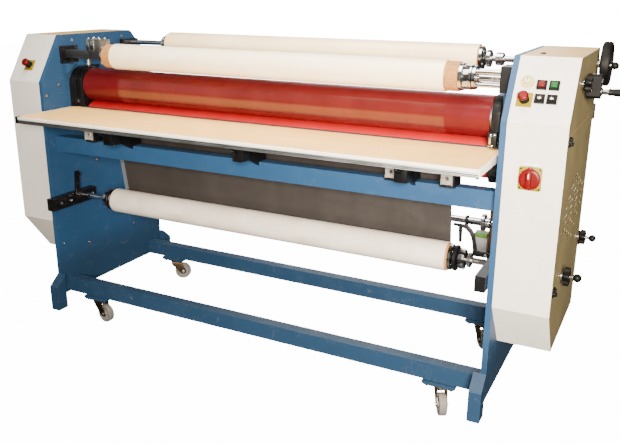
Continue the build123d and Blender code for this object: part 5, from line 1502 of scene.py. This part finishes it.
rivet = [(0, 0), (2.4, 0), (2.4, 0.7), (1.2, 1.2), (0, 1.2)]
big_rivet = [(0, 0), (2.6, 0), (2.6, 0.8), (1.3, 1.3), (0, 1.3)]
work = bmesh.new()
for foot in (490.0, 936.0):
    place = turned_to(at(RIGHT_FACE, 31, foot + 13.5), (0, 1, 0), (1, 0, 0))
    catch(work, place, (rounded(30, 27, 4), 3.4, 0.8, 0, 0), (rounded(15, 23, 3), 5.4, 1.6, 0, 3.2),
          (rounded(12, 9, 2.5), 3.4, 1.4, -6, 8.4), rivet, ((-11, 0), (11, 0)))
    place = turned_to(at(RIGHT_FACE - 9, BACK, foot + 26), (-1, 0, 0), (0, 1, 0))
    catch(work, place, (rounded(30, 52, 4), 4.0, 0.9, 0, 0), (rounded(18, 40, 4), 8.2, 2.2, 4, 3.8),
          (rounded(14, 14, 3), 6.6, 2.2, -14, 10.8), big_rivet, ((0, -21), (0, 21)))
inlet = measured(next(m for m in frame["record"]["mounts"] if m["name"] == "cable_inlet")["pos_m"])
place = standing(inlet.x, inlet.y, box_mm("right_cover")[0].z)
BORE = 6.6               # of the gland
NUT_R, NUT_H = 15.2, 6.2
collar = eased([(BORE, -14), (9.6, -14), (12.2, -11), (12.2, -6.4), (BORE, -6.4)], 0.7)
sleeve(work, moved(place, 0, 0, -NUT_H), (BORE, NUT_R), NUT_H, 0.8, 0, 6)
spun(work, place, collar, 0, 36, tube=True)
spun(work, place, [(BORE, -0.3), (9.9, -0.3), (9.9, 9.8), (BORE, 9.8)], 0, 36, tube=True)
piece("panel_catches", work, [MOULDED, STEEL], "frame", "panel_latches")

# %% Grommet on the drive cover
GROMMET = (945.0, 206.0)
OVERHEAD = 1400.0        # the ray starts above the machine
_, landed, slope, _ = frame["nodes"]["right_cover"].ray_cast(at(*GROMMET, OVERHEAD), (0, 0, -1))
work = bmesh.new()
place = turned_to(landed, (0, 1, 0), slope)
bar(work, moved(place, 0, 0, -0.3), rounded(34, 15, 7.4, steps=8), 2.2, 0.7, 0)
bar(work, moved(place, 0, 0, 1.7), rounded(22, 6, 2.9, steps=6), 1.2, 0.3, 0)
piece("cover_grommet", work, MOULDED, "frame")

# %% [markdown]
# ## Take-up shaft, and what stands beside it
# The shaft at the back winds used backing film. Near the drive end it has two gripping keys, a bright
# flange and a knurled disc. Beside it a brown post carries a small grey drive box with a green strip,
# and a black yoke reaches from the lower bar towards the film.

# %% Take-up shaft
work = bmesh.new()
bar_end = INNER - 82
shaft_from, shaft_to = ends_of("takeup_shaft")
rod(work, along_x(shaft_from, TAKEUP), 10, shaft_to - shaft_from, 1.0, 0, 32)
sleeve(work, along_x(-bar_end, TAKEUP), (9.8, 12), 2 * bar_end, 1.0, 0, 36)
sleeve(work, along_x(bar_end, TAKEUP), (9.8, 32.6), 26, 1.6, 1, 48)
for turn in around(along_x(bar_end, TAKEUP), 36):
    bar(work, moved(turn, 32.4, 0, 3), rounded(2.4, 2.8), 20, 0, 1)
sleeve(work, along_x(bar_end - 60, TAKEUP), (11.8, 32), 12, 1.4, 0, 48)
hub_end = eased([(11.8, 0), (19, 0), (19, 18), (15, 22), (11.8, 22)], 1.0)
spun(work, along_x(bar_end - 47.8, TAKEUP), hub_end, 0, 40, tube=True)
for turn in around(along_x(bar_end - 110, TAKEUP), 2):
    bar(work, moved(turn, 0, 19, 0), rounded(12, 15.6, 2), 49.8, 1.0, 1)
for x in (-bar_end, bar_end - 120):
    sleeve(work, along_x(x, TAKEUP), (11.8, 18), 9, 0.9, 1, 36)
piece("takeup_arbor", work, [CHROME, BLACK], "takeup", "takeup_shaft")

# %% Post and drive box
BRONZE = finish("brown_coat", "6b4523", 0.42, cloud=0.12, worn="9c7446", dust=0.14)
BOX_GREY = finish("pale_grey_coat", "a9adb3", 0.45, cloud=0.06, peel=0.5, worn="cfd2d6", dust=0.14)
GREEN_STRIP = finish("green_strip", "5f8f35", 0.4, cloud=0.08, dust=0.10)

work = bmesh.new()
post_x, post_y = HALF_SPAN - 143, 520.0
block(work, (post_x, post_y, 336), (post_x + 16, post_y + 20, 622), 1.2, 0)
for z in (340, 598):
    block(work, (post_x + 15, post_y, z), (INNER, post_y + 20, z + 20), 1.2, 0)
    block(work, (INNER - 6, post_y - 14, z - 14), (INNER, post_y + 34, z + 34), 1.0, 0)
box_low, box_high = Vector((post_x - 50, 498, 398)), Vector((post_x + 0.5, 548, 474))
block(work, box_low, box_high, 2.0, 1)
block(work, (box_low.x + 1, box_low.y + 1, 473.5), (box_high.x - 1, box_high.y - 1, 488), 1.4, 2)
box_screw = [(0, 0), (2.4, 0), (2.4, 0.9), (1.2, 1.3), (0, 1.3)]
for x in (box_low.x + 6, box_high.x - 6):
    for z in (box_low.z + 6, box_high.z - 6):
        spun(work, forward(x, box_low.y + 0.2, z), box_screw, 3, 16)
piece("takeup_drive_box", work, [BRONZE, BOX_GREY, GREEN_STRIP, STEEL], "frame")

# %% Yoke
YOKE_Y = 197.0
BAR_IN = INNER - 32      # inner end of the lower roll's bar
outline = [(0, 512), (0, 528), (-56, 528), (-62, 560), (-66, 584), (-76, 600), (-92, 614),
           (-138, 614), (-138, 606), (-119, 606), (-117, 552), (-108, 552), (-110, 606),
           (-97, 602), (-84, 590), (-76, 576), (-72, 556), (-66, 512)]
yoke_screw = [(0, -0.3), (4, -0.3), (4, 2.6), (2, 3), (2, 1.6), (0, 1.6)]
work = bmesh.new()
bar(work, forward(BAR_IN, YOKE_Y + 8, 0), outline, 8.0, 1.2, 0)
for x in (BAR_IN - 8, BAR_IN - 26):
    spun(work, forward(x, YOKE_Y, 520), yoke_screw, 1, 18)
piece("web_guide_yoke", work, [BLACK, STEEL], "frame")
